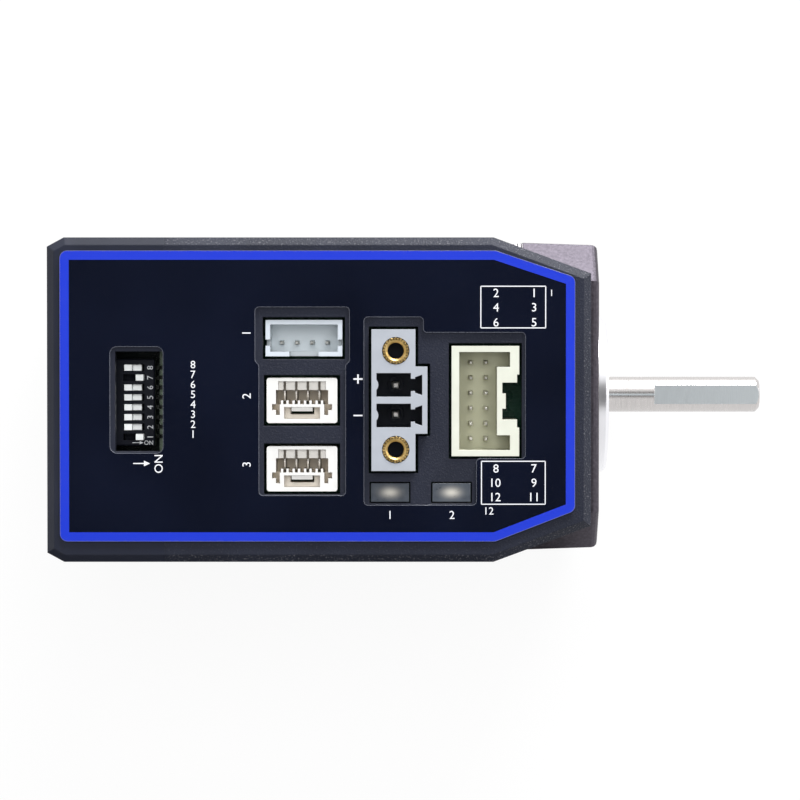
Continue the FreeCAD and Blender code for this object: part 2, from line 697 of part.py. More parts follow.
def bobbin_radii():
    """Radii that the bobbins and the coils share."""
    shoe_back = ROTOR_DIAMETER / 2 + AIR_GAP + TOOTH_DEPTH + SHOE_ROOT_THICKNESS
    coil_start = shoe_back + COIL_CLEARANCE + BOBBIN_INNER_WALL / 2
    coil_end = coil_start + COIL_RADIAL_DEPTH
    coil_half = POLE_NECK_WIDTH / 2 + BOBBIN_LINER + COIL_THICKNESS
    return coil_start, coil_end, coil_half, coil_end + COIL_CLEARANCE


def bobbin(x_seat, direction):
    """Moulded insulator on one end of the stack: an octagon, eight saddles and their inner walls."""
    coil_start, _, _, ring = bobbin_radii()
    wall_start = coil_start - COIL_CLEARANCE - BOBBIN_INNER_WALL
    saddle_half = POLE_NECK_WIDTH / 2 + BOBBIN_LINER - COIL_CLEARANCE
    far = x_seat + direction * BOBBIN_HEIGHT
    floor = x_seat + direction * BOBBIN_FLOOR
    pieces = [octagon_bar(2 * (ring + BOBBIN_RING_THICKNESS), x_seat, far).cut(
        octagon_bar(2 * ring, x_seat, far))]
    for pole in range(POLE_COUNT):
        wall = box(min(x_seat, far), max(x_seat, far),
                   wall_start, wall_start + BOBBIN_INNER_WALL,
                   -BOBBIN_INNER_WALL_WIDTH / 2, BOBBIN_INNER_WALL_WIDTH / 2)
        saddle = box(min(x_seat, floor), max(x_seat, floor),
                     wall_start, ring + BOBBIN_RING_THICKNESS / 2, -saddle_half, saddle_half)
        pieces += [around_shaft(piece, 360.0 / POLE_COUNT * pole) for piece in (wall, saddle)]
    return fuse_all(pieces)


def coils(first_pole):
    """Every second coil of the winding: a block of wire wound round its pole's neck."""
    coil_start, coil_end, coil_half, _ = bobbin_radii()
    inner_half = POLE_NECK_WIDTH / 2 + BOBBIN_LINER
    inner_front = STACK_FRONT_X + BOBBIN_FLOOR + COIL_CLEARANCE
    inner_rear = STACK_REAR_X - BOBBIN_FLOOR - COIL_CLEARANCE
    outer = box(inner_rear - COIL_END_HEIGHT, inner_front + COIL_END_HEIGHT,
                coil_start, coil_end, -coil_half, coil_half)
    corners = [edge for edge in outer.Edges
               if abs(edge.Vertexes[0].Y - edge.Vertexes[-1].Y) > COIL_RADIAL_DEPTH / 2]
    outer = outer.makeChamfer(COIL_CORNER_CUT, corners)
    hole = box(inner_rear, inner_front, coil_start, coil_end, -inner_half, inner_half)
    coil = outer.cut(hole)
    return [around_shaft(coil, 360.0 / POLE_COUNT * pole) for pole in range(first_pole, POLE_COUNT, 2)]


def motor_screws():
    """Four long screws from the rear bell through the stack into the front bell."""
    head_face = MOTOR_REAR_X + M3_HEAD_HEIGHT + HEAD_SINK
    return [socket_screw_x(M3_HEAD, M3_HEAD_HEIGHT, M3_DIAMETER, M3_CORE - 2 * THREAD_CLEARANCE,
                           head_face, -FRONT_THREAD_FREE, STACK_FRONT_X, y, z)
            for y, z in FRAME_SCREWS]


def bearing_outer_ring(x_front):
    """Outer ring of a shielded bearing, closed by its shields down to the inner ring."""
    x_rear = x_front - BEARING_WIDTH
    ring = bar_x(BEARING_OUTSIDE, x_rear, x_front, sides=RING_SIDES)
    return ring.cut(hidden_bore_x(BEARING_SHIELD_BORE, x_rear, x_front, sides=RING_SIDES))


def bearing_inner_ring(x_front):
    """Inner ring on the shaft."""
    x_rear = x_front - BEARING_WIDTH
    ring = bar_x(BEARING_INNER_RING, x_rear, x_front, sides=RING_SIDES)
    return ring.cut(hidden_bore_x(SHAFT_DIAMETER + 2 * SEAT_CLEARANCE, x_rear, x_front, sides=RING_SIDES))


def wave_washer():
    """Thin ring bent into waves, which presses the rear bearing forwards."""
    middle_x = REAR_BEARING_END - WASHER_SPACE / 2
    height = (WASHER_SPACE - WASHER_THICKNESS) / 2 - SEAT_CLEARANCE
    outside = BEARING_OUTSIDE / 2 - SEAT_CLEARANCE
    steps = WASHER_STEPS_PER_WAVE * WASHER_WAVES
    rings = {}
    for radius in (outside, outside - WASHER_WIDTH):
        for side in (1, -1):
            ring = []
            for step in range(steps):
                degrees = 360.0 * step / steps
                wave = height * math.cos(math.radians(degrees * WASHER_WAVES))
                x = middle_x + wave + side * WASHER_THICKNESS / 2
                ring.append(FreeCAD.Vector(x, *polar(radius, degrees)))
            rings[radius == outside, side] = ring
    strips = [(rings[True, 1], rings[False, 1]), (rings[True, -1], rings[True, 1]),
              (rings[False, -1], rings[True, -1]), (rings[False, 1], rings[False, -1])]
    faces = []
    for near, far in strips:
        for step in range(steps):
            after = (step + 1) % steps
            faces.append(Part.Face(outline([near[step], near[after], far[step]])))
            faces.append(Part.Face(outline([near[after], far[after], far[step]])))
    return sewn(faces)


def shaft():
    """Stepped shaft with a flat on its free end and a grinding groove at the front bearing."""
    radius = SHAFT_DIAMETER / 2
    shoulder = SHAFT_SHOULDER_DIAMETER / 2
    groove = radius - SHAFT_GROOVE_DEPTH
    groove_front = FRONT_BEARING_X + SHAFT_GROOVE_WIDTH
    flat_start = SHAFT_FRONT_LENGTH - SHAFT_FLAT_LENGTH
    body = turned([(SHAFT_REAR_X, 0), (SHAFT_FRONT_LENGTH, 0),
                   (SHAFT_FRONT_LENGTH, radius - SHAFT_END_CHAMFER),
                   (SHAFT_FRONT_LENGTH - SHAFT_END_CHAMFER, radius),
                   (flat_start, radius), (groove_front, radius), (groove_front, groove),
                   (FRONT_BEARING_X, groove), (FRONT_BEARING_X, radius),
                   (FRONT_BEARING_END, radius), (FRONT_BEARING_END, shoulder),
                   (REAR_BEARING_X, shoulder), (REAR_BEARING_X, radius), (SHAFT_REAR_X, radius)])
    flat_level = SHAFT_ACROSS_FLAT - radius
    flat = box(flat_start, SHAFT_FRONT_LENGTH, -radius, radius, flat_level, radius)
    # The round stretch and the stretch with the flat stay two faces.
    return body.cut(flat)


def rotor_cup(x_front, x_rear, offset_deg):
    """Toothed iron cup. The two cups are half a tooth apart."""
    tip = ROTOR_DIAMETER / 2
    root = tip - TOOTH_DEPTH
    pitch = 360.0 / ROTOR_TEETH
    points = []
    for tooth in range(ROTOR_TEETH):
        centre = tooth * pitch + offset_deg
        points += [polar(root, centre - TOOTH_ROOT_DEG / 2), polar(tip, centre - TOOTH_TIP_DEG / 2),
                   polar(tip, centre + TOOTH_TIP_DEG / 2), polar(root, centre + TOOTH_ROOT_DEG / 2)]
    wire = outline([FreeCAD.Vector(x_rear, y, z) for y, z in points])
    cup = Part.Face(wire).extrude(FreeCAD.Vector(x_front - x_rear, 0, 0))
    bore = SHAFT_SHOULDER_DIAMETER + 2 * SEAT_CLEARANCE
    return cut_all(cup, [hidden_bore_x(bore, x_rear, x_front, sides=HEAD_SIDES)])


def rotor_stack():
    """Front cup, magnet and rear cup along the shaft's thick part."""
    middle = (ROTOR_FRONT_X + ROTOR_REAR_X) / 2
    magnet_front = middle + ROTOR_MAGNET_THICKNESS / 2
    magnet_rear = middle - ROTOR_MAGNET_THICKNESS / 2
    bore = SHAFT_SHOULDER_DIAMETER + 2 * SEAT_CLEARANCE
    front = rotor_cup(ROTOR_FRONT_X, magnet_front, 0.0)
    magnet = bar_x(ROTOR_MAGNET_DIAMETER, magnet_rear, magnet_front, sides=RING_SIDES)
    magnet = magnet.cut(hidden_bore_x(bore, magnet_rear, magnet_front, sides=HEAD_SIDES))
    rear = rotor_cup(magnet_rear, ROTOR_REAR_X, 180.0 / ROTOR_TEETH)
    return front, magnet, rear


# Encoder

def magnet_holder():
    """Brass cup on the shaft's rear end that carries the encoder magnet."""
    body = bar_x(HOLDER_DIAMETER, MAGNET_END, HOLDER_X, sides=RING_SIDES)
    grip = hidden_bore_x(SHAFT_DIAMETER + 2 * SEAT_CLEARANCE, SHAFT_REAR_X, HOLDER_X, sides=HEAD_SIDES)
    pocket = hidden_bore_x(ENCODER_MAGNET_DIAMETER + 2 * SEAT_CLEARANCE, MAGNET_END, MAGNET_X,
                           sides=HEAD_SIDES)
    return cut_all(body, [grip, pocket])


def encoder_board():
    """Small board behind the shaft's magnet."""
    half = ENCODER_BOARD_WIDTH / 2
    flat = rounded_slab(rectangle(ENCODER_BOARD_LOW, ENCODER_BOARD_HIGH, -half, half),
                        BOARD_CORNER_RADIUS, 0, BOARD_THICKNESS)
    flat.rotate(FreeCAD.Vector(0, 0, 0), FreeCAD.Vector(0, 1, 0), -90)
    board = moved(flat, ENCODER_BOARD_X)
    holes = [hidden_bore_x(M3_HOLE, ENCODER_BOARD_END, ENCODER_BOARD_X, y, z) for y, z in REAR_SCREWS]
    return cut_all(board, holes)


def ribbon_socket_boxes():
    """Sockets of the flat cable: one behind the encoder board, one under the driver board."""
    half = RIBBON_SOCKET_WIDTH / 2
    back = ENCODER_BOARD_END - RIBBON_SOCKET_DEPTH
    lower = box(back, ENCODER_BOARD_END, -half, half,
                ENCODER_BOARD_HIGH - 1.0 - RIBBON_SOCKET_HEIGHT, ENCODER_BOARD_HIGH - 1.0)
    upper = box(back, ENCODER_BOARD_END, -half, half, BOARD_BOTTOM - RIBBON_SOCKET_HEIGHT, BOARD_BOTTOM)
    return lower, upper


def ribbon():
    """Flat cable between the two sockets, seated 1 mm deep in each."""
    lower, upper = ribbon_socket_boxes()
    middle = ENCODER_BOARD_END - RIBBON_SOCKET_DEPTH / 2
    half = RIBBON_WIDTH / 2
    return box(middle - RIBBON_THICKNESS / 2, middle + RIBBON_THICKNESS / 2, -half, half,
               lower.BoundBox.ZMax - 1.0, upper.BoundBox.ZMin + 1.0)


def rear_cover_screws():
    """Two screws through the rear cover, the encoder board and its spacers into the rear bell."""
    head_face = HOUSING_REAR_X + M3_HEAD_HEIGHT + HEAD_SINK
    return [socket_screw_x(M3_HEAD, M3_HEAD_HEIGHT, M3_DIAMETER, M3_CORE - 2 * THREAD_CLEARANCE,
                           head_face, MOTOR_REAR_X + REAR_SCREW_GRIP, MOTOR_REAR_X, y, z)
            for y, z in REAR_SCREWS]


# Drive housing

def housing_plan():
    """Outline of the whole housing from above, anticlockwise, with its cut corners."""
    half = HOUSING_WIDTH / 2
    return [(HOUSING_REAR_X + REAR_SLANT_LENGTH, -half), (HOUSING_FRONT_X - FRONT_SLANT_LENGTH, -half),
            (HOUSING_FRONT_X, -half + FRONT_SLANT_DEPTH), (HOUSING_FRONT_X, half - FRONT_SLANT_DEPTH),
            (HOUSING_FRONT_X - FRONT_SLANT_LENGTH, half), (HOUSING_REAR_X + REAR_SLANT_LENGTH, half),
            (HOUSING_REAR_X, half - REAR_SLANT_DEPTH), (HOUSING_REAR_X, -half + REAR_SLANT_DEPTH)]


def housing_envelope(z_low):
    """Outer form of the housing down to a level, with the bevel round its top."""
    plan = housing_plan()
    shoulder = COVER_TOP - HOUSING_BEVEL_DROP
    walls = slab(plan, z_low, shoulder)
    lower = [FreeCAD.Vector(x, y, shoulder) for x, y in plan]
    upper = [FreeCAD.Vector(x, y, COVER_TOP) for x, y in inset(plan, HOUSING_BEVEL)]
    return fuse_all([walls, frustum(lower, upper)])


def connector_cuts():
    """Holes in the cover, one round each connector and light, a clearance larger than it."""
    cuts = [slab(inset(points, -HOLE_CLEARANCE), COVER_UNDERSIDE, COVER_TOP)
            for points in (signal_plan(), serial_plan(), bus_plan(0), bus_plan(1), power_plan())]
    for x in LIGHT_PLACES_X:
        half_x = LIGHT_LENGTH / 2 + HOLE_CLEARANCE / 2
        half_y = LIGHT_WIDTH / 2 + HOLE_CLEARANCE / 2
        cuts.append(box(x - half_x, x + half_x, LIGHT_Y - half_y, LIGHT_Y + half_y,
                        COVER_UNDERSIDE, COVER_TOP))
    return cuts


def drive_housing():
    """Front shell over the motor: textured walls, bevelled top, posts and connector holes."""
    plan = inset(housing_plan(), HOUSING_WALL)
    cavity = slab(plan, MOTOR_TOP, COVER_UNDERSIDE)
    behind = box(HOUSING_REAR_X - 1, HOUSING_SEAM_X, -HOUSING_WIDTH, HOUSING_WIDTH, MOTOR_TOP, COVER_TOP)
    shell = cut_all(housing_envelope(MOTOR_TOP), [cavity, behind])
    posts = [bar_z(POST_DIAMETER, BOARD_TOP, COVER_UNDERSIDE, x, y) for x, y in HOUSING_SCREWS]
    holes = [hidden_bore_z(M25_HOLE, BOARD_TOP, COVER_TOP, x, y) for x, y in HOUSING_SCREWS]
    sinks = [hidden_bore_z(M25_HEAD + 2 * HEAD_CLEARANCE, COVER_TOP - M25_HEAD_HEIGHT - HEAD_SINK,
                           COVER_TOP, x, y) for x, y in HOUSING_SCREWS]
    return cut_all(fuse_all([shell] + posts), holes + sinks + connector_cuts())


def rear_cover():
    """Smooth rear shell over the encoder, as deep as the motor, with the switch window."""
    bottom = -HALF_FRAME
    section = box(HOUSING_REAR_X, HOUSING_SEAM_X, -HOUSING_WIDTH / 2, HOUSING_WIDTH / 2, 0, COVER_TOP)
    section = fuse_all([section, frame_prism(FRAME_WIDTH, HOUSING_REAR_X, HOUSING_SEAM_X)])
    body = housing_envelope(bottom).common(section)
    inner_plan = inset(housing_plan(), HOUSING_WALL)
    inner = slab(inner_plan, bottom + HOUSING_WALL, COVER_UNDERSIDE)
    lower_room = frame_prism(FRAME_WIDTH - 2 * HOUSING_WALL, HOUSING_REAR_X, HOUSING_SEAM_X)
    upper_room = box(HOUSING_REAR_X, HOUSING_SEAM_X, -HOUSING_WIDTH / 2, HOUSING_WIDTH / 2, 0, COVER_TOP)
    room = inner.common(fuse_all([lower_room, upper_room]))
    shell = body.cut(room)
    rear_wall = HOUSING_REAR_X + HOUSING_WALL
    posts = [bar_x(REAR_POST_DIAMETER, rear_wall, ENCODER_BOARD_END, y, z) for y, z in REAR_SCREWS]
    holes = [hidden_bore_x(M3_HOLE, HOUSING_REAR_X, ENCODER_BOARD_END, y, z) for y, z in REAR_SCREWS]
    sinks = [hidden_bore_x(M3_HEAD + 2 * HEAD_CLEARANCE, HOUSING_REAR_X,
                           HOUSING_REAR_X + M3_HEAD_HEIGHT + HEAD_SINK, y, z, HEAD_SIDES)
             for y, z in REAR_SCREWS]
    window = box(WINDOW_REAR_X + WINDOW_LEDGE, HOUSING_SEAM_X,
                 -WINDOW_HALF_LENGTH + WINDOW_LEDGE / 3, WINDOW_HALF_LENGTH - WINDOW_LEDGE,
                 COVER_UNDERSIDE, COVER_TOP)
    return cut_all(fuse_all([shell] + posts), holes + sinks + [window])


def base_plate():
    """Aluminium plate on the motor's top, with a rib under each row of power transistors."""
    plan = inset(housing_plan(), HOUSING_WALL + PLATE_EDGE_GAP)
    behind = box(HOUSING_REAR_X, HOUSING_SEAM_X + PLATE_EDGE_GAP, -HOUSING_WIDTH, HOUSING_WIDTH,
                 MOTOR_TOP, PLATE_TOP)
    plate = slab(plan, MOTOR_TOP, PLATE_TOP).cut(behind)
    ribs = [transistor_row_box(side, PLATE_TOP, RIB_TOP) for side in (1, -1)]
    holes = [hidden_bore_z(M25_HOLE, MOTOR_TOP, PLATE_TOP, x, y) for x, y in HOUSING_SCREWS]
    return cut_all(fuse_all([plate] + ribs), holes + [lead_slot(MOTOR_TOP, PLATE_TOP)])


def transistor_row_box(side, z_low, z_high):
    """Block as long and wide as one row of power transistors."""
    end_x = TRANSISTOR_START_X + (TRANSISTORS_PER_SIDE - 1) * TRANSISTOR_PITCH + TRANSISTOR_LENGTH
    centre = side * TRANSISTOR_Y
    return box(TRANSISTOR_START_X, end_x, centre - TRANSISTOR_WIDTH / 2, centre + TRANSISTOR_WIDTH / 2,
               z_low, z_high)


def transistors():
    """Two rows of power transistors under the driver board."""
    row = []
    for side in (1, -1):
        for index in range(TRANSISTORS_PER_SIDE):
            x = TRANSISTOR_START_X + index * TRANSISTOR_PITCH
            y = side * TRANSISTOR_Y
            row.append(box(x, x + TRANSISTOR_LENGTH, y - TRANSISTOR_WIDTH / 2, y + TRANSISTOR_WIDTH / 2,
                           BOARD_BOTTOM - TRANSISTOR_HEIGHT, BOARD_BOTTOM))
    return row


def driver_board():
    """Circuit board that carries every connector, with its screw and pin holes."""
    board = slab(inset(housing_plan(), HOUSING_WALL + BOARD_EDGE_GAP), BOARD_BOTTOM, BOARD_TOP)
    holes = [hidden_bore_z(M25_HOLE, BOARD_BOTTOM, BOARD_TOP, x, y) for x, y in HOUSING_SCREWS]
    for size, places in ((HEADER_PIN, signal_pin_places() + serial_pin_places()),
                         (POWER_PIN, power_pin_places())):
        half = size / 2 + SEAT_CLEARANCE
        holes += [box(x - half, x + half, y - half, y + half, BOARD_BOTTOM, BOARD_TOP) for x, y in places]
    return cut_all(board, holes)


def housing_screws():
    """Four screws from under the label down into the two bells."""
    head_seat = COVER_TOP - M25_HEAD_HEIGHT - HEAD_SINK
    core = M25_CORE - 2 * THREAD_CLEARANCE
    screws = []
    for x, y in HOUSING_SCREWS:
        head = bar_z(M25_HEAD, head_seat, head_seat + M25_HEAD_HEIGHT, x, y)
        shank = bar_z(M25_DIAMETER, MOTOR_TOP, head_seat, x, y)
        thread = bar_z(core, MOTOR_TOP - HOUSING_SCREW_GRIP, MOTOR_TOP, x, y)
        top = head_seat + M25_HEAD_HEIGHT
        slot = box(x - M25_HEAD / 2, x + M25_HEAD / 2, y - 0.3, y + 0.3, top - SOCKET_DEPTH / 2, top)
        screws.append(cut_all(fuse_all([head, shank, thread]), [slot]))
    return screws


def capacitors():
    """Surface-mounted electrolytic cans, each on its square base."""
    half = CAPACITOR_DIAMETER / 2
    base_top = BOARD_TOP + CAPACITOR_BASE_HEIGHT
    return [fuse_all([box(x - half, x + half, y - half, y + half, BOARD_TOP, base_top),
                      bar_z(CAPACITOR_DIAMETER, base_top, BOARD_TOP + CAPACITOR_HEIGHT, x, y, HEAD_SIDES)])
            for x, y in CAPACITOR_PLACES]


def chips():
    """Control chip and its two helpers on the driver board."""
    return [box(x - size / 2, x + size / 2, y - size / 2, y + size / 2, BOARD_TOP, BOARD_TOP + CHIP_HEIGHT)
            for x, y, size in CHIP_PLACES]


def phase_leads():
    """Winding leads from the rear bobbin's ring straight up to the driver board."""
    _, _, _, ring = bobbin_radii()
    start = ring + BOBBIN_RING_THICKNESS
    first = -(LEAD_COUNT - 1) * LEAD_PITCH / 2
    return [bar_z(LEAD_DIAMETER, start, BOARD_BOTTOM, LEAD_X, first + index * LEAD_PITCH)
            for index in range(LEAD_COUNT)]


def label_plan():
    """Outline of the label, half a millimetre off the housing's centre line as it is stuck."""
    return [(LABEL_REAR_X, LABEL_RIGHT_Y), (LABEL_SLANT_X, LABEL_RIGHT_Y),
            (LABEL_FRONT_X, LABEL_SLANT_RIGHT_Y), (LABEL_FRONT_X, LABEL_SLANT_LEFT_Y),
            (LABEL_SLANT_X, LABEL_LEFT_Y), (LABEL_REAR_X, LABEL_LEFT_Y)]


def bus_cutout_plan():
    """Cut-out in the label round the serial header and the two bus connectors."""
    step_y = 4.55
    return [(-45.5, -12.4), (-34.3, -12.4), (-34.3, step_y), (-33.8, step_y + 0.5), (-33.8, 12.05),
            (-46.0, 12.05), (-46.0, step_y + 0.5), (-45.5, step_y)]


def power_cutout_plan():
    """Cut-out in the label round the power header, the signal header and the lights."""
    return [(-31.85, -13.65), (-17.3, -13.65), (-17.3, -7.6), (-10.95, -7.6), (-10.95, 8.75),
            (-24.2, 8.75), (-24.2, 10.75), (-31.85, 10.75)]


def cover_label():
    """Glossy film over the cover, with its three cut-outs."""
    film = rounded_slab(label_plan(), LABEL_CORNER_RADIUS, COVER_TOP, LABEL_TOP)
    window = rounded_slab(rectangle(WINDOW_REAR_X, WINDOW_FRONT_X, -WINDOW_HALF_LENGTH, WINDOW_HALF_LENGTH),
                          WINDOW_RADIUS, COVER_TOP, LABEL_TOP)
    cutouts = [rounded_slab(plan, CUTOUT_RADIUS, COVER_TOP, LABEL_TOP)
               for plan in (power_cutout_plan(), bus_cutout_plan())]
    return cut_all(film, [window] + cutouts)


# Connectors

def square_pin(size, z_low, z_high, x, y):
    """Square pin with a tapered tip."""
    half = size / 2
    neck = z_high - PIN_TIP_LENGTH
    stem = box(x - half, x + half, y - half, y + half, z_low, neck)
    corners = ((1, 1), (-1, 1), (-1, -1), (1, -1))
    shoulder, tip = ([FreeCAD.Vector(x + a * h, y + b * h, z) for a, b in corners]
                     for h, z in ((half, neck), (half * PIN_TIP_RATIO, z_high)))
    return fuse_all([stem, frustum(shoulder, tip)])


def pin_holes(size, places, z_low, z_high):
    """Holes in a header's floor for its pins."""
    half = size / 2 + SEAT_CLEARANCE
    return [box(x - half, x + half, y - half, y + half, z_low, z_high) for x, y in places]


def signal_plan():
    """Outline of the signal header from above."""
    half_x = SIGNAL_WIDTH / 2
    half_y = SIGNAL_LENGTH / 2
    return rectangle(SIGNAL_X - half_x, SIGNAL_X + half_x, SIGNAL_Y - half_y, SIGNAL_Y + half_y)


def signal_pin_places():
    """Centres of the signal header's pins."""
    first = SIGNAL_Y - (SIGNAL_ROWS - 1) * SIGNAL_PIN_PITCH / 2
    return [(x, first + row * SIGNAL_PIN_PITCH) for x in SIGNAL_PIN_COLUMNS for row in range(SIGNAL_ROWS)]


def signal_header():
    """Shrouded header whose front wall steps inwards at the latch."""
    top = BOARD_TOP + SIGNAL_HEIGHT
    floor = BOARD_TOP + SIGNAL_FLOOR
    rear = SIGNAL_X - SIGNAL_WIDTH / 2
    front = SIGNAL_X + SIGNAL_WIDTH / 2
    inner_front = front - SIGNAL_FRONT_WALL
    latch_outer = front - SIGNAL_LATCH_SETBACK
    latch_inner = latch_outer - SIGNAL_LATCH_WALL
    half = SIGNAL_LENGTH / 2 - SIGNAL_END_WALL
    y = SIGNAL_Y
    inside = [(rear + SIGNAL_BACK_WALL, y - half), (inner_front, y - half),
              (inner_front, y - SIGNAL_SHELF_HALF), (latch_inner, y - SIGNAL_SHELF_HALF),
              (latch_inner, y + SIGNAL_SHELF_HALF), (inner_front, y + SIGNAL_SHELF_HALF),
              (inner_front, y + half), (rear + SIGNAL_BACK_WALL, y + half)]
    shelf = front - SIGNAL_SHELF_STEP
    nub = latch_outer + SIGNAL_NUB_DEPTH
    mouth = [(shelf, y - SIGNAL_MOUTH_HALF), (front, y - SIGNAL_MOUTH_HALF), (front, y + SIGNAL_MOUTH_HALF),
             (shelf, y + SIGNAL_MOUTH_HALF), (shelf, y + SIGNAL_LATCH_HALF),
             (latch_outer, y + SIGNAL_LATCH_HALF), (latch_outer, y + SIGNAL_NUB_HALF),
             (nub, y + SIGNAL_NUB_HALF), (nub, y - SIGNAL_NUB_HALF), (latch_outer, y - SIGNAL_NUB_HALF),
             (latch_outer, y - SIGNAL_LATCH_HALF), (shelf, y - SIGNAL_LATCH_HALF)]
    body = slab(signal_plan(), BOARD_TOP, top)
    tools = [slab(inside, floor, top), slab(mouth, BOARD_TOP, top)]
    return cut_all(body, tools + pin_holes(HEADER_PIN, signal_pin_places(), BOARD_TOP, floor))


def serial_plan():
    """Outline of the serial header from above."""
    return rectangle(SERIAL_X - SERIAL_LENGTH / 2, SERIAL_X + SERIAL_LENGTH / 2,
                     SERIAL_Y - SERIAL_WIDTH / 2, SERIAL_Y + SERIAL_WIDTH / 2)


def serial_pin_places():
    """Centres of the serial header's pins."""
    first = SERIAL_X - (SERIAL_PINS - 1) * SERIAL_PIN_PITCH / 2
    return [(first + index * SERIAL_PIN_PITCH, SERIAL_PIN_Y) for index in range(SERIAL_PINS)]


def serial_header():
    """Shrouded single-row header with notched end walls and a gap in its long wall."""
    top = BOARD_TOP + SERIAL_HEIGHT
    floor = BOARD_TOP + SERIAL_FLOOR
    plan = serial_plan()
    left, right = plan[0][0], plan[1][0]
    low_y = plan[0][1]
    notch = box(left, right, SERIAL_PIN_Y - SERIAL_NOTCH_WIDTH / 2, SERIAL_PIN_Y + SERIAL_NOTCH_WIDTH / 2,
                top - SERIAL_NOTCH_DEPTH, top)
    gap = box(SERIAL_X - SERIAL_GAP_HALF, SERIAL_X + SERIAL_GAP_HALF, low_y, low_y + SERIAL_WALL,
              top - SERIAL_GAP_DEPTH, top)
    tools = [slab(inset(plan, SERIAL_WALL), floor, top), notch, gap]
    return cut_all(slab(plan, BOARD_TOP, top),
                   tools + pin_holes(HEADER_PIN, serial_pin_places(), BOARD_TOP, floor))


def bus_plan(index):
    """Outline of a bus connector from above."""
    y = BUS_PLACES_Y[index]
    return rectangle(BUS_X - BUS_LENGTH / 2, BUS_X + BUS_LENGTH / 2, y - BUS_WIDTH / 2, y + BUS_WIDTH / 2)


def bus_contact_places():
    """Centres in X of a bus connector's contacts."""
    first = BUS_X - (BUS_CONTACTS - 1) * BUS_CONTACT_PITCH / 2
    return [first + index * BUS_CONTACT_PITCH for index in range(BUS_CONTACTS)]


def bus_connector(index):
    """Small locking connector: contact well with a ledge and forks, two arm slots and a latch window."""
    y = BUS_PLACES_Y[index]
    top = BOARD_TOP + BUS_HEIGHT
    body = rounded_slab(bus_plan(index), BUS_CORNER_RADIUS, BOARD_TOP, top)
    well = box(BUS_X - BUS_SLOT_LENGTH / 2, BUS_X + BUS_SLOT_LENGTH / 2, y + BUS_SLOT_LOW, y + BUS_SLOT_HIGH,
               top - BUS_SLOT_DEPTH, top)
    ledge = box(BUS_X - BUS_LEDGE_LENGTH / 2, BUS_X + BUS_LEDGE_LENGTH / 2, y + BUS_SLOT_HIGH,
                y + BUS_LEDGE_HIGH, top - BUS_LEDGE_DEPTH, top)
    fork_high = y + BUS_SLOT_LOW + BUS_FORK_REACH
    for x in bus_contact_places():
        fork = box(x - BUS_FORK_WIDTH / 2, x + BUS_FORK_WIDTH / 2, y + BUS_SLOT_LOW, fork_high,
                   top - BUS_SLOT_DEPTH, top)
        gap = box(x - BUS_FORK_GAP / 2, x + BUS_FORK_GAP / 2, y + BUS_SLOT_LOW, fork_high,
                  top - BUS_SLOT_DEPTH, top)
        well = well.cut(fork.cut(gap))
    tools = [well, ledge]
    for side in (1, -1):
        near = BUS_X + side * (BUS_ARM_X - BUS_ARM_WIDTH / 2)
        far = BUS_X + side * (BUS_ARM_X + BUS_ARM_WIDTH / 2)
        end = far + side * BUS_NUB_LENGTH
        tools.append(box(min(near, far), max(near, far), y + BUS_ARM_LOW, y + BUS_SLOT_LOW,
                         top - BUS_ARM_DEPTH, top))
        tools.append(box(min(far, end), max(far, end), y + BUS_NUB_LOW, y + BUS_NUB_HIGH,
                         top - BUS_ARM_DEPTH, top))
    latch = box(BUS_X - BUS_LATCH_HALF, BUS_X + BUS_LATCH_HALF, y + BUS_LATCH_LOW, y + BUS_LATCH_HIGH,
                top - BUS_LATCH_DEPTH, top)
    tongue = box(BUS_X - BUS_TONGUE_HALF, BUS_X + BUS_TONGUE_HALF, y + BUS_TONGUE_LOW, y + BUS_LATCH_HIGH,
                 BOARD_TOP, top - BUS_TONGUE_DROP)
    gap_half = BUS_TONGUE_HALF + BUS_TONGUE_GAP
    around = box(BUS_X - gap_half, BUS_X + gap_half, y + BUS_TONGUE_LOW - BUS_TONGUE_GAP_LOW,
                 y + BUS_LATCH_HIGH, BOARD_TOP, top)
    tools += [latch.cut(tongue), around.cut(tongue)]
    return cut_all(body, tools)


def bus_contacts():
    """Blades in both bus connectors: each stands in the well and rests its upper end on the ledge."""
    top = BOARD_TOP + BUS_HEIGHT
    shelf = top - BUS_LEDGE_DEPTH
    floor = top - BUS_SLOT_DEPTH
    pins = []
    for y in BUS_PLACES_Y:
        low = y + BUS_CONTACT_LOW
        step = y + BUS_SLOT_HIGH
        high = y + BUS_LEDGE_HIGH
        for x in bus_contact_places():
            profile = [(low, floor), (step, floor), (step, shelf), (high, shelf),
                       (high, shelf + BUS_CONTACT_RISE), (step - BUS_CONTACT_RISE, shelf + BUS_CONTACT_RISE),
                       (low, top - BUS_CONTACT_DROP)]
            wire = outline([FreeCAD.Vector(x - BUS_CONTACT_WIDTH / 2, py, pz) for py, pz in profile])
            pins.append(Part.Face(wire).extrude(FreeCAD.Vector(BUS_CONTACT_WIDTH, 0, 0)))
    return pins


def power_plan():
    """Outline of the power header from above: two flanges and a nose between them."""
    half = POWER_LENGTH / 2
    return [(POWER_REAR_X, -half), (POWER_FRONT_X, -half), (POWER_FRONT_X, -POWER_NOSE_HALF),
            (POWER_NOSE_X, -POWER_NOSE_HALF), (POWER_NOSE_X, POWER_NOSE_HALF),
            (POWER_FRONT_X, POWER_NOSE_HALF), (POWER_FRONT_X, half), (POWER_REAR_X, half)]


def power_pin_places():
    """Centres of the two power pins."""
    return [(POWER_PIN_X, side * POWER_PITCH / 2) for side in (1, -1)]


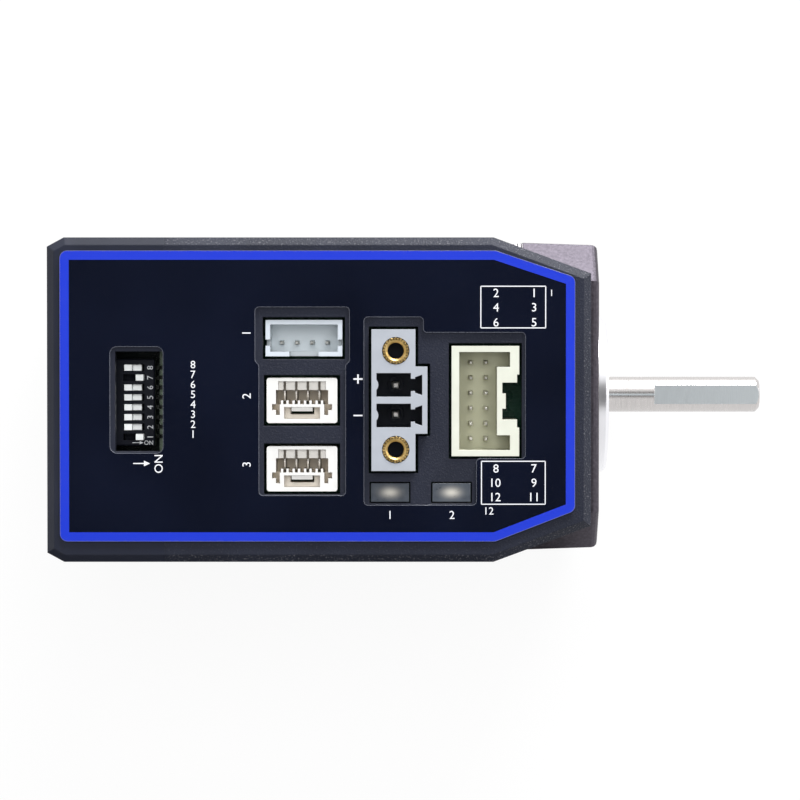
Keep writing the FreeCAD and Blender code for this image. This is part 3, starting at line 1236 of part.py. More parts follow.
def power_header():
    """Flanged power header: two keyed sockets and two seats for threaded inserts."""
    top = BOARD_TOP + POWER_HEIGHT
    floor = BOARD_TOP + POWER_CAVITY_FLOOR
    body = slab(power_plan(), BOARD_TOP, top)
    tools = []
    added = []
    for side in (1, -1):
        y = side * POWER_CAVITY_CENTRE
        half = POWER_CAVITY_WIDTH / 2
        room = box(POWER_CAVITY_REAR_X, POWER_CAVITY_FRONT_X, y - half, y + half, floor, top)
        rib_x = POWER_CAVITY_REAR_X - POWER_RIB_RADIUS + POWER_RIB_PROUD
        tools.append(room.cut(rod_z(2 * POWER_RIB_RADIUS, floor, top, rib_x, y)))
        tools.append(box(POWER_CAVITY_FRONT_X, POWER_KEY_REAR_X, y - POWER_NECK_HALF, y + POWER_NECK_HALF,
                         floor, top))
        tools.append(slab([(POWER_KEY_REAR_X, y - POWER_KEY_REAR_HALF),
                           (POWER_KEY_FRONT_X, y - POWER_KEY_FRONT_HALF),
                           (POWER_KEY_FRONT_X, y + POWER_KEY_FRONT_HALF),
                           (POWER_KEY_REAR_X, y + POWER_KEY_REAR_HALF)], floor, top))
        tools.append(rod_z(INSERT_OUTSIDE + 2 * SEAT_CLEARANCE, top - INSERT_LENGTH, top,
                           INSERT_X, side * INSERT_SPACING / 2))
        added.append(bar_z(POWER_PIN_BOSS, floor, floor + POWER_PIN_BOSS_HEIGHT,
                           POWER_PIN_X, side * POWER_PITCH / 2))
    body = fuse_all([cut_all(body, tools)] + added)
    return cut_all(body, pin_holes(POWER_PIN, power_pin_places(), BOARD_TOP, floor + POWER_PIN_BOSS_HEIGHT))


def power_inserts():
    """Knurled brass inserts with a countersunk threaded hole."""
    top = BOARD_TOP + POWER_HEIGHT
    low = top - INSERT_LENGTH
    inserts = []
    for side in (1, -1):
        y = side * INSERT_SPACING / 2
        points = []
        for knurl in range(2 * INSERT_KNURLS):
            diameter = INSERT_OUTSIDE if knurl % 2 == 0 else INSERT_ROOT
            dx, dy = polar(diameter / 2, 180.0 * knurl / INSERT_KNURLS)
            points.append((INSERT_X + dx, y + dy))
        body = slab(points, low, top + INSERT_PROUD)
        sink_depth = (INSERT_COUNTERSINK - INSERT_BORE) / 2
        sink = Part.makeCone(INSERT_BORE / 2, INSERT_COUNTERSINK / 2, sink_depth,
                             FreeCAD.Vector(INSERT_X, y, top + INSERT_PROUD - sink_depth))
        inserts.append(cut_all(body, [rod_z(INSERT_BORE, low, top + INSERT_PROUD, INSERT_X, y), sink]))
    return inserts


def light_guides():
    """Clear guides over the two lights: a flush cap on a narrower stem."""
    guides = []
    for x in LIGHT_PLACES_X:
        cap = box(x - LIGHT_LENGTH / 2, x + LIGHT_LENGTH / 2, LIGHT_Y - LIGHT_WIDTH / 2,
                  LIGHT_Y + LIGHT_WIDTH / 2, COVER_TOP - LIGHT_CAP_DEPTH, COVER_TOP)
        stem = box(x - LIGHT_STEM_LENGTH / 2, x + LIGHT_STEM_LENGTH / 2, LIGHT_Y - LIGHT_STEM_WIDTH / 2,
                   LIGHT_Y + LIGHT_STEM_WIDTH / 2, BOARD_TOP + LED_HEIGHT + LIGHT_GAP,
                   COVER_TOP - LIGHT_CAP_DEPTH)
        guides.append(fuse_all([cap, stem]))
    return guides


def leds():
    """Chip lights on the board under their guides."""
    return [box(x - LED_LENGTH / 2, x + LED_LENGTH / 2, LIGHT_Y - LED_WIDTH / 2, LIGHT_Y + LED_WIDTH / 2,
                BOARD_TOP, BOARD_TOP + LED_HEIGHT) for x in LIGHT_PLACES_X]


# Switch bank

SWITCH_BOTTOM = BOARD_TOP + SWITCH_STAND_OFF
SWITCH_TOP = BOARD_TOP + SWITCH_HEIGHT
SLOT_REAR_X = SWITCH_REAR_X + SLOT_REAR_OFFSET
SLOT_FRONT_X = SLOT_REAR_X + SLIDER_KNOB_LENGTH + SLIDER_TRAVEL + 2 * SLIDER_END_GAP
SLIDER_FLOOR = SWITCH_BOTTOM + SWITCH_FLOOR


def slider_y(number):
    """Centre line of a slider. Number 1 is the lowest in Y."""
    return SWITCH_CENTRE_Y + (number - (SLIDER_COUNT + 1) / 2) * SLIDER_PITCH


def switch_body():
    """Body of the switch bank, with a slot and a hidden track for every slider."""
    half = SWITCH_LENGTH_Y / 2
    body = box(SWITCH_REAR_X, SWITCH_REAR_X + SWITCH_LENGTH_X, SWITCH_CENTRE_Y - half,
               SWITCH_CENTRE_Y + half, SWITCH_BOTTOM, SWITCH_TOP)
    top = [edge for edge in body.Edges if all(abs(v.Z - SWITCH_TOP) < 1e-6 for v in edge.Vertexes)]
    body = body.makeChamfer(SWITCH_EDGE_CHAMFER, top)
    track_end = SLOT_FRONT_X + SLIDER_TONGUE_LENGTH
    tools = []
    for number in range(1, SLIDER_COUNT + 1):
        y = slider_y(number)
        gap = SLIDER_WIDTH / 2 + SLIDER_SIDE_GAP
        tools.append(box(SLOT_REAR_X, SLOT_FRONT_X, y - gap, y + gap, SLIDER_FLOOR, SWITCH_TOP))
        tools.append(box(SLOT_FRONT_X, track_end, y - gap, y + gap, SLIDER_FLOOR, SWITCH_TOP - SWITCH_SKIN))
    return cut_all(body, tools)


def slider(number):
    """One slider: a knob and the tongue that runs under the body's skin."""
    y = slider_y(number)
    half = SLIDER_WIDTH / 2
    rear = SLOT_REAR_X + SLIDER_END_GAP
    if number in SLIDERS_ON:
        rear += SLIDER_TRAVEL
    front = rear + SLIDER_KNOB_LENGTH
    low = SLIDER_FLOOR + SLIDER_SIDE_GAP
    tongue_top = SWITCH_TOP - SWITCH_SKIN - SLIDER_TONGUE_GAP
    profile = [(rear, low), (front + SLIDER_TONGUE_LENGTH, low), (front + SLIDER_TONGUE_LENGTH, tongue_top),
               (front, tongue_top), (front - SLIDER_SIDE_GAP, SWITCH_TOP + SLIDER_KNOB_RISE),
               (rear + SLIDER_SIDE_GAP, SWITCH_TOP + SLIDER_KNOB_RISE)]
    wire = outline([FreeCAD.Vector(x, y - half, z) for x, z in profile])
    return Part.Face(wire).extrude(FreeCAD.Vector(0, SLIDER_WIDTH, 0))


def switch_terminals():
    """Bent terminals along both sides of the switch bank."""
    terminals = []
    t = TERMINAL_THICKNESS
    for side, edge_x in ((-1, SWITCH_REAR_X), (1, SWITCH_REAR_X + SWITCH_LENGTH_X)):
        knee = edge_x + side * (TERMINAL_REACH - TERMINAL_FOOT)
        toe = edge_x + side * TERMINAL_REACH
        rise = BOARD_TOP + TERMINAL_RISE
        profile = [(edge_x, rise), (knee, rise), (knee, BOARD_TOP + t), (toe, BOARD_TOP + t),
                   (toe, BOARD_TOP), (knee - side * t, BOARD_TOP), (knee - side * t, rise - t),
                   (edge_x, rise - t)]
        for number in range(1, SLIDER_COUNT + 1):
            low_y = slider_y(number) - TERMINAL_WIDTH / 2
            wire = outline([FreeCAD.Vector(x, low_y, z) for x, z in profile])
            terminals.append(Part.Face(wire).extrude(FreeCAD.Vector(0, TERMINAL_WIDTH, 0)))
    return terminals


# Writing the pieces

def save(name, shapes):
    """Write one node: a single solid or a group of separate solids."""
    solids = shapes if isinstance(shapes, (list, tuple)) else [shapes]
    for index, solid in enumerate(solids):
        if not solid.isValid() or solid.Volume <= 0 or len(solid.Solids) != 1:
            print("check", name, index, solid.ShapeType, solid.isValid(), solid.Volume, len(solid.Solids))
    shape = solids[0].Solids[0] if len(solids) == 1 else Part.Compound([s.Solids[0] for s in solids])
    shape.exportStep(os.path.join("parts", name + ".step"))


def build():
    """Make every piece and write it to its own file."""
    os.makedirs("parts", exist_ok=True)
    save("front_bell", front_bell())
    save("stator_stack", stator_stack())
    save("front_bobbin", bobbin(STACK_FRONT_X, 1))
    save("rear_bobbin", bobbin(STACK_REAR_X, -1))
    save("phase_a_coils", coils(0))
    save("phase_b_coils", coils(1))
    save("rear_bell", rear_bell())
    save("motor_screws", motor_screws())
    save("front_bearing_outer_ring", bearing_outer_ring(FRONT_BEARING_X))
    save("front_bearing_inner_ring", bearing_inner_ring(FRONT_BEARING_X))
    save("rear_bearing_outer_ring", bearing_outer_ring(REAR_BEARING_X))
    save("rear_bearing_inner_ring", bearing_inner_ring(REAR_BEARING_X))
    save("wave_washer", wave_washer())
    save("shaft", shaft())
    front_cup, magnet, rear_cup = rotor_stack()
    save("front_rotor_cup", front_cup)
    save("rotor_magnet", magnet)
    save("rear_rotor_cup", rear_cup)
    save("magnet_holder", magnet_holder())
    save("encoder_magnet", rod_x(ENCODER_MAGNET_DIAMETER, MAGNET_END, MAGNET_X))
    save("encoder_board", encoder_board())
    half_chip = ENCODER_CHIP_SIZE / 2
    save("encoder_chip", box(ENCODER_BOARD_X, ENCODER_CHIP_X, -half_chip, half_chip, -half_chip, half_chip))
    save("encoder_spacers", [hexagon_spacer_x(M3_HOLE, ENCODER_BOARD_X, MOTOR_REAR_X, y, z)
                             for y, z in REAR_SCREWS])
    cable = ribbon()
    save("encoder_ribbon", cable)
    save("ribbon_sockets", [socket.cut(cable) for socket in ribbon_socket_boxes()])
    save("rear_cover", rear_cover())
    save("rear_cover_screws", rear_cover_screws())
    save("drive_housing", drive_housing())
    save("housing_screws", housing_screws())
    save("base_plate", base_plate())
    save("board_spacers", [hexagon_spacer_z(M25_HOLE, PLATE_TOP, BOARD_BOTTOM, x, y)
                           for x, y in HOUSING_SCREWS])
    save("driver_board", driver_board())
    save("power_transistors", transistors())
    save("thermal_pads", [transistor_row_box(side, RIB_TOP, RIB_TOP + THERMAL_PAD_THICKNESS)
                          for side in (1, -1)])
    save("control_chips", chips())
    save("capacitors", capacitors())
    save("phase_leads", phase_leads())
    save("cover_label", cover_label())
    save("signal_header", signal_header())
    tail = BOARD_BOTTOM - PIN_TAIL
    save("signal_header_pins", [square_pin(HEADER_PIN, tail, BOARD_TOP + SIGNAL_PIN_HEIGHT, x, y)
                                for x, y in signal_pin_places()])
    save("serial_header", serial_header())
    save("serial_header_pins", [square_pin(HEADER_PIN, tail, BOARD_TOP + SERIAL_PIN_HEIGHT, x, y)
                                for x, y in serial_pin_places()])
    save("upper_bus_connector", bus_connector(0))
    save("lower_bus_connector", bus_connector(1))
    save("bus_contacts", bus_contacts())
    save("power_header", power_header())
    save("power_header_pins", [square_pin(POWER_PIN, tail, BOARD_TOP + POWER_HEIGHT - POWER_PIN_DROP, x, y)
                               for x, y in power_pin_places()])
    save("power_header_inserts", power_inserts())
    save("light_guides", light_guides())
    save("indicator_leds", leds())
    save("switch_body", switch_body())
    save("switch_terminals", switch_terminals())
    for number in range(1, SLIDER_COUNT + 1):
        save("switch_slider_%d" % number, slider(number))


build()
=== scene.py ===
# %% [markdown]
# # A stepper motor that carries its own drive
#
# The object is a square motor, 42.3 mm across, with a slope-cornered plastic housing on top. The
# housing wears a glossy dark label with a blue border. Plug headers, two lights and a bank of slide
# switches stand in the label's cut-outs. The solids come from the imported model, already in place, so
# this lesson is about finishes, print, light and camera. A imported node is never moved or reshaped.

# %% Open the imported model
import math

import bpy
from mathutils import Matrix, Vector


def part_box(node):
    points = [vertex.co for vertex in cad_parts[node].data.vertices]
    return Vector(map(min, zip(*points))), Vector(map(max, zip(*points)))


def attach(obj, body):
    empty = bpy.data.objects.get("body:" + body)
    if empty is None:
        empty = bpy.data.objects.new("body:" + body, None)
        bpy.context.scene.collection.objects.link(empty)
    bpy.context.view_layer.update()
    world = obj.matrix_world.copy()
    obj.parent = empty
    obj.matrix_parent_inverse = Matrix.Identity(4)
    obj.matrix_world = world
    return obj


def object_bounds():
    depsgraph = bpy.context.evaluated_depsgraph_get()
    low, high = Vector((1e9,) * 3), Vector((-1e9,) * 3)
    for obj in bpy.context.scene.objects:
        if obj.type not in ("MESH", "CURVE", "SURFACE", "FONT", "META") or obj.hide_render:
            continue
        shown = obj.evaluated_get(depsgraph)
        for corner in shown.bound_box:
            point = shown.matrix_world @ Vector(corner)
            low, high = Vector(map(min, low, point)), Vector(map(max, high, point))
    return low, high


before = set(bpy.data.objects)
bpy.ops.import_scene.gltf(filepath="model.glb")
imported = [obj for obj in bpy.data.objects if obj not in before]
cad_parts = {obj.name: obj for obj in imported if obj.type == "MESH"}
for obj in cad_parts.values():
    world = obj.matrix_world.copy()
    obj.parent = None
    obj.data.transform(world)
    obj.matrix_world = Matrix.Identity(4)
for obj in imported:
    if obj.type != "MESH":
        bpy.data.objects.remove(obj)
cad_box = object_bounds()

# %% [markdown]
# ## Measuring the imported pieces
#
# Some finishes need to know where a piece lies: a light guide glows at its own middle, and a header
# darkens below its own rim. Such places could be typed in, but the model may change, so they are
# read from it. Blender counts in metres, and a motor this small is easier to think of in millimetres.

# %% Corners and tops
MM = 0.001


def corners_of(name):
    """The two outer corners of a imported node, in millimetres."""
    return [Vector(corner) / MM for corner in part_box(name)]


def top_of(name):
    """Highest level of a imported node, in millimetres."""
    return corners_of(name)[1].z


print("the cover's label lies", round(top_of("cover_label"), 2), "mm above the shaft's axis")

# %% [markdown]
# ## Shader maths written as Python
#
# A finish is a web of small nodes. Wiring each one by hand hides the idea, so a shader socket is
# wrapped in a class whose operators add the node for us: `mask * 0.5` makes a Math node that
# multiplies. The reflected forms are there too, so `1.0 - mask` works as well.

# %% A shader value
class Value:
    """A shader socket that can stand in Python sums, products and comparisons."""

    def __init__(self, web, socket):
        self.web = web
        self.socket = socket

    def __add__(self, other):
        return self.web.maths("ADD", self, other)

    __radd__ = __add__

    def __sub__(self, other):
        return self.web.maths("SUBTRACT", self, other)

    def __rsub__(self, other):
        return self.web.maths("SUBTRACT", other, self)

    def __mul__(self, other):
        return self.web.maths("MULTIPLY", self, other)

    __rmul__ = __mul__

    def __gt__(self, other):
        return self.web.maths("GREATER_THAN", self, other)

    def __lt__(self, other):
        return self.web.maths("LESS_THAN", self, other)

    def output(self, name):
        """Another output of the same node."""
        return Value(self.web, self.socket.node.outputs[name])


print("a shader value can be added, subtracted, multiplied and compared")

# %% [markdown]
# ## One way to add any node
#
# Every node is added by one method, `node`. It takes the node's type, then its settings, which come
# first because they decide which sockets a node has, then a number, a colour or a value for each
# socket. A socket goes by its name, or by its number, as in `in_0`, where a node repeats a name.

# %% A web of nodes
class Web:
    """A node tree that is built by plain calls."""

    def __init__(self, tree):
        self.tree = tree

    def node(self, kind, settings, output=0, **sockets):
        """Add a node: its settings first, then a value or a link for each socket."""
        made = self.tree.nodes.new("ShaderNode" + kind)
        for name, value in settings.items():
            if name == "stops":
                self.set_stops(made.color_ramp, value)
            else:
                setattr(made, name, value)
        for name, value in sockets.items():
            self.feed(self.find(made, name), value)
        return Value(self, made.outputs[output])

    def set_stops(self, ramp, stops):
        """Give a colour ramp its places and colours."""
        for index, (place, colour) in enumerate(stops):
            stop = ramp.elements[index] if index < 2 else ramp.elements.new(place)
            stop.position = place
            stop.color = (*colour, 1.0)

    def find(self, made, name):
        """The input called `name`, or the numbered one for names like `in_0`."""
        if name.startswith("in_"):
            return made.inputs[int(name[3:])]
        wanted = name.replace("_", " ").lower()
        return next(socket for socket in made.inputs if socket.name.lower() == wanted and socket.enabled)

    def feed(self, socket, value):
        """Link a shader value to a socket, or write a plain one into it."""
        if isinstance(value, Value):
            self.tree.links.new(value.socket, socket)
        elif isinstance(value, tuple) and len(value) == 3 and len(socket.default_value) == 4:
            socket.default_value = (*value, 1.0)
        else:
            socket.default_value = value

    def maths(self, operation, first, second=0.0):
        """One step of arithmetic."""
        return self.node("Math", {"operation": operation}, in_0=first, in_1=second)

    def largest(self, *values):
        """The largest of two or more values."""
        most = values[0]
        for value in values[1:]:
            most = self.maths("MAXIMUM", most, value)
        return most


print("a web takes any node, and its maths takes numbers or values")

# %% [markdown]
# ## What a surface can be judged by
#
# A few measures are enough to vary a finish: where the point lies, whether the surface faces up,
# whether it is near an edge, and noise. A ramp or a mix turns them into colours, and a grade turns
# them into another range of numbers. Noise seldom leaves the middle of its range, so `clouds`
# stretches that middle out.

# %% Measures and blends
NOISE_SPAN = (0.3, 0.7)
BEVEL_SAMPLES = 4


class Patterns(Web):
    """A web that can measure the surface and blend colours and numbers by it."""

    def place(self):
        """The point being shaded, in millimetres: as a vector, then its x, y and z."""
        metres = self.node("TexCoord", {}, output="Object")
        point = self.node("VectorMath", {"operation": "SCALE"}, vector=metres, scale=1 / MM)
        x = self.node("SeparateXYZ", {}, vector=point)
        return point, x, x.output("Y"), x.output("Z")

    def facing_up(self):
        """How far the surface faces up, from -1 to 1."""
        normal = self.node("NewGeometry", {}, output="Normal")
        return self.node("SeparateXYZ", {}, vector=normal).output("Z")

    def worn_edge(self, reach):
        """How much the surface turns within `reach` millimetres: 0 on flats, more on edges."""
        rounded = self.node("Bevel", {"samples": BEVEL_SAMPLES}, radius=reach * MM)
        plain = self.node("NewGeometry", {}, output="Normal")
        agreement = self.node("VectorMath", {"operation": "DOT_PRODUCT"}, output="Value",
                              in_0=rounded, in_1=plain)
        return 1.0 - agreement

    def noise(self, point, size, detail=2.0, stretch=(1.0, 1.0, 1.0)):
        """Cloudy noise whose lumps are `size` millimetres across."""
        stretched = self.node("VectorMath", {"operation": "MULTIPLY"}, in_0=point, in_1=stretch)
        return self.node("TexNoise", {}, vector=stretched, scale=1 / size, detail=detail)

    def clouds(self, point, size, detail=2.0, low=0.0, high=1.0):
        """Noise drawn out to run from `low` to `high`."""
        return self.grade(self.noise(point, size, detail), *NOISE_SPAN, low, high)

    def grade(self, value, low, high, to_low, to_high):
        """A value carried from one range into another, with its ends held."""
        return self.node("MapRange", {}, in_0=value, in_1=low, in_2=high, in_3=to_low, in_4=to_high)

    def ramp(self, value, *stops):
        """Colours spread over a value."""
        return self.node("ValToRGB", {"stops": stops}, fac=value)

    def mix(self, mask, where_0, where_1):
        """One colour where the mask is 0 and another where it is 1."""
        return self.node("Mix", {"data_type": "RGBA"}, output=2, in_0=mask, in_6=where_0, in_7=where_1)

    def distance(self, across, along):
        """Length of a step that goes `across` and `along`."""
        return self.maths("SQRT", across * across + along * along)


print("noise runs from", NOISE_SPAN[0], "to", NOISE_SPAN[1], "before it is drawn out")

# %% [markdown]
# ## A finish, and how a piece gets it
#
# A finish is a material with one Principled shader. The colour and roughness given first stand until
# nodes are linked in their place. Fine relief isn't cut into the mesh: a Bump node tilts the light's
# bounce instead. A Bevel node under it softens the edges, because an edge that is truly sharp never
# catches a highlight, and every real one does.

# %% Finishes
class Finish(Patterns):
    """A material being made. Its surface is one Principled shader."""

    def __init__(self, name, colour, roughness, **fixed):
        self.material = bpy.data.materials.new(name)
        self.material.use_nodes = True
        super().__init__(self.material.node_tree)
        self.surface = self.tree.nodes["Principled BSDF"]
        self.set(base_color=colour, roughness=roughness, **fixed)

    def set(self, **sockets):
        """Set the surface's own sockets."""
        for name, value in sockets.items():
            self.feed(self.find(self.surface, name), value)
        return self

    def relief(self, height, depth, edge=0.0):
        """Small relief `depth` millimetres deep, on edges softened by `edge` millimetres."""
        sockets = {"height": height, "distance": depth * MM, "strength": 1.0}
        if edge:
            sockets["normal"] = self.node("Bevel", {"samples": BEVEL_SAMPLES}, radius=edge * MM)
        return self.set(normal=self.node("Bump", {}, **sockets))


def wear(piece, finish):
    """Give one object a finish."""
    piece.data.materials.clear()
    piece.data.materials.append(finish.material)


def dress(finish, *names):
    """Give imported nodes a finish, and say which."""
    for name in names:
        wear(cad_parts[name], finish)
    print(finish.material.name, "on", ", ".join(names))


def scaled(colour, share):
    """A colour made lighter or darker."""
    return tuple(share * part for part in colour)


print("a finish can be worn by one object, or by several packed nodes")

# %% [markdown]
# ## The housing's two plastics
#
# The front shell came out of a spark-textured mould: a fine, even grain, with glints painted into its
# colour as highlights, more on the bevel than on level faces. The rear cover is the same slate plastic
# from a smoother mould, with no painted glints. One function makes both, and the depth of the grain and
# the strength of the painted glints tell them apart.

# %% Housing plastics
SLATE = (0.0125, 0.0145, 0.0240)
PAINTED_GLINT = (0.10, 0.10, 0.115)
SLATE_MIRROR = 0.22
PATCH_SIZE = 9.0
PATCH_SPAN = (0.35, 0.65)
PATCH_LIGHTER = 1.25
PAINTED_GLINT_SPAN = (0.57, 0.70)
SLOPE_SPAN = (0.80, 0.98)
PAINTED_GLINTS_ON_LEVEL = 0.15


def moulded_slate(name, grain_size, grain_depth, roughness, painted_glint_strength):
    """Slate plastic with a moulded grain, and glints painted into its colour as highlights, more on slopes
    than on level faces.
    """
    finish = Finish(name, SLATE, roughness, specular_ior_level=SLATE_MIRROR)
    point = finish.place()[0]
    grain = finish.noise(point, grain_size, detail=3.0)
    patches = finish.grade(finish.noise(point, PATCH_SIZE), *PATCH_SPAN, 0.0, 1.0)
    tint = finish.mix(patches, SLATE, scaled(SLATE, PATCH_LIGHTER))
    # Painted highlight: light specks painted into the base colour, weaker on level faces.
    slope = finish.grade(finish.facing_up(), *SLOPE_SPAN, 1.0, PAINTED_GLINTS_ON_LEVEL)
    painted_glints = finish.grade(grain, *PAINTED_GLINT_SPAN, 0.0, painted_glint_strength) * slope
    finish.set(base_color=finish.mix(painted_glints, tint, PAINTED_GLINT))
    finish.set(roughness=finish.grade(grain, *NOISE_SPAN, roughness - 0.08, roughness + 0.12))
    return finish.relief(grain, grain_depth, edge=0.25)


dress(moulded_slate("spark-textured slate plastic", 0.24, 0.09, 0.44, painted_glint_strength=1.0), "drive_housing")
dress(moulded_slate("smooth slate plastic", 0.12, 0.006, 0.40, painted_glint_strength=0.0), "rear_cover")

# %% [markdown]
# ## Where the label's border runs
#
# The border could be its own strip of mesh, but it is printed, so it has no edge to feel. A mask
# paints it instead. The label's outline is convex, so the distance in from its edge is the smallest
# of six straight-line distances, and the border is wherever that distance is below its width.

# %% Distance in from the label's edge
LABEL_LOW, LABEL_HIGH = corners_of("cover_label")
SLANT_START_X = -14.8
SLANT_END_LOW_Y = -14.4
SLANT_END_HIGH_Y = 15.95

label_outline = [(LABEL_LOW.x, LABEL_LOW.y), (SLANT_START_X, LABEL_LOW.y),
                 (LABEL_HIGH.x, SLANT_END_LOW_Y), (LABEL_HIGH.x, SLANT_END_HIGH_Y),
                 (SLANT_START_X, LABEL_HIGH.y), (LABEL_LOW.x, LABEL_HIGH.y)]


def inset_from(finish, x, y, outline):
    """Distance inwards from a convex outline whose corners run anticlockwise."""
    nearest = None
    for (ax, ay), (bx, by) in zip(outline, outline[1:] + outline[:1]):
        length = math.hypot(bx - ax, by - ay)
        inward_x = -(by - ay) / length
        inward_y = (bx - ax) / length
        distance = x * inward_x + y * inward_y - (ax * inward_x + ay * inward_y)
        nearest = distance if nearest is None else finish.maths("MINIMUM", nearest, distance)
    return nearest


print("label", [round(v, 2) for v in (*LABEL_LOW, *LABEL_HIGH)])

# %% [markdown]
# ## The label's film
#
# The label is a half-millimetre film whose colours are printed under a gloss, so it is nearly a mirror. A
# thin bright line round each cut-out is a painted highlight: the mask for it takes the side walls and the
# narrow band where the surface turns.

# %% Label film
NAVY = (0.0026, 0.0038, 0.0100)
BORDER_BLUE = (0.014, 0.036, 0.48)
PAINTED_EDGE_HIGHLIGHT = (0.17, 0.18, 0.215)
HAZE_SIZE = 14.0
HAZE_LIGHTER = 1.5
BORDER_WIDTH = 1.2
CUT_LINE = 0.16
SIDE_FACING = 0.5
EDGE_TURN = 0.03


def film():
    """Glossy film with a blue border, and a painted highlight along its cut edges."""
    finish = Finish("printed glossy film", NAVY, 0.10, ior=1.45)
    point, x, y, _ = finish.place()
    border = inset_from(finish, x, y, label_outline) < BORDER_WIDTH
    ground = finish.mix(finish.clouds(point, HAZE_SIZE), NAVY, scaled(NAVY, HAZE_LIGHTER))
    printed = finish.mix(border, ground, BORDER_BLUE)
    # Painted highlight: a pale line painted on the cut edges' side walls and where the surface turns.
    edge_highlight_mask = finish.largest(finish.facing_up() < SIDE_FACING, finish.worn_edge(CUT_LINE) > EDGE_TURN)
    finish.set(base_color=finish.mix(edge_highlight_mask, printed, PAINTED_EDGE_HIGHLIGHT))
    finish.set(roughness=finish.clouds(point, 0.8, detail=3.0, low=0.07, high=0.15))
    return finish.relief(finish.noise(point, 2.5), 0.0012, edge=0.05)


dress(film(), "cover_label")

# %% [markdown]
# ## The bells
#
# The two bells are castings under dark metallic paint, a little mottled where it is blasted. The
# front bell's boss is turned after painting, so it is bare, and its tool marks run in rings round
# the shaft's axis. It is one node with two looks, so a mask of place tells them apart.

# %% Painted castings
BOSS_RADIUS = 11.2
BOSS_START_X = -0.6
BARE_ALUMINIUM = (0.93, 0.93, 0.96)
PAINT_STOPS = ((0.30, (0.058, 0.052, 0.064)), (0.52, (0.077, 0.069, 0.084)), (0.74, (0.103, 0.091, 0.111)))
PAINT_METALLIC = 0.85
PAINT_ROUGHNESS = (0.34, 0.46)
BOSS_ROUGHNESS = 0.30
RING_RADIANS_PER_MM = 32.0
RING_SHARE = 0.12


def painted_casting():
    """Dark paint everywhere but on the turned boss."""
    finish = Finish("dark paint and turned aluminium", (0.1, 0.1, 0.1), 0.4)
    point, x, y, z = finish.place()
    radius = finish.distance(y, z)
    turned = (radius < BOSS_RADIUS) * (x > BOSS_START_X)
    mottle = finish.noise(point, 0.4, detail=4.0)
    finish.set(base_color=finish.mix(turned, finish.ramp(mottle, *PAINT_STOPS), BARE_ALUMINIUM))
    finish.set(metallic=turned * (1.0 - PAINT_METALLIC) + PAINT_METALLIC)
    paint_rough = finish.grade(mottle, *NOISE_SPAN, *PAINT_ROUGHNESS)
    finish.set(roughness=paint_rough * (1.0 - turned) + turned * BOSS_ROUGHNESS)
    rings = finish.maths("SINE", radius * RING_RADIANS_PER_MM) * 0.5 + 0.5
    return finish.relief(mottle * (1.0 - turned) + rings * turned * RING_SHARE, 0.015, edge=0.15)


dress(painted_casting(), "front_bell", "rear_bell")

# %% [markdown]
# ## The stack of sheets
#
# Between the bells lie some seventy-five steel sheets, each half a millimetre thick. Modelling them
# one by one would add thousands of faces for lines that are hardly seen. A repeating fraction of x
# gives the seams instead, and noise that is stretched along each sheet gives its brushed edge.

# %% Sheet steel
SHEET_THICKNESS = 0.5
SEAM_COLOUR = (0.05, 0.05, 0.055)
SEAM_SPAN = (0.72, 0.98)
ALONG_THE_SHEET = (3.0, 0.06, 0.06)


def sheet_stack():
    """Steel sheets seen from their edges."""
    finish = Finish("laminated sheet steel", (0.30, 0.30, 0.31), 0.4, metallic=1.0)
    point, x, _, _ = finish.place()
    seam = finish.maths("FRACT", x * (1 / SHEET_THICKNESS))
    edge = finish.maths("ABSOLUTE", seam - 0.5) * 2.0
    shade = finish.noise(point, 1.0, detail=3.0, stretch=ALONG_THE_SHEET)
    tint = finish.ramp(shade, (0.3, (0.20, 0.19, 0.20)), (0.7, (0.32, 0.31, 0.32)))
    groove = finish.grade(edge, *SEAM_SPAN, 1.0, 0.0)
    finish.set(base_color=finish.mix(groove, SEAM_COLOUR, tint))
    finish.set(roughness=finish.grade(shade, *NOISE_SPAN, 0.34, 0.52))
    return finish.relief(groove, 0.05)


dress(sheet_stack(), "stator_stack", "front_rotor_cup", "rear_rotor_cup")

# %% [markdown]
# ## Ground steel
#
# The shaft, the bearings and the screws are steel that turned against a stone, which leaves fine
# lines round the shaft's axis. Noise that is squeezed along x and stretched the other ways gives
# them. The flat was milled afterwards: it is duller, faces straight up and lies at one level.

# %% Shaft, bearings and screws
BLACK = (0.0, 0.0, 0.0)
SHAFT_FLAT_LEVEL = 1.9
MILLED_STEEL = (0.60, 0.64, 0.66)
MILLED_DULLER = 0.22
ROUND_THE_AXIS = (1.0, 0.05, 0.05)
LINE_SPAN = (0.25, 0.75)
LINE_DARKEST = 0.08
LEVEL = 0.995


def ground_steel(name, colour, roughness, line_size=0.12, flat_level=None):
    """Steel ground round the shaft's axis. A milled flat above `flat_level` is duller."""
    finish = Finish(name, colour, roughness, metallic=1.0)
    point, _, _, z = finish.place()
    lines = finish.noise(point, line_size, stretch=ROUND_THE_AXIS)
    dull = finish.grade(lines, *LINE_SPAN, roughness - 0.04, roughness + 0.06)
    steel = colour
    if flat_level is not None:
        milled = (finish.facing_up() > LEVEL) * (z > flat_level)
        dull = dull + milled * MILLED_DULLER
        steel = finish.mix(milled, colour, MILLED_STEEL)
    finish.set(roughness=dull)
    tint = finish.grade(lines, *LINE_SPAN, 0.0, LINE_DARKEST)
    finish.set(base_color=finish.mix(tint, steel, BLACK))
    return finish.relief(lines, 0.0006, edge=0.12)


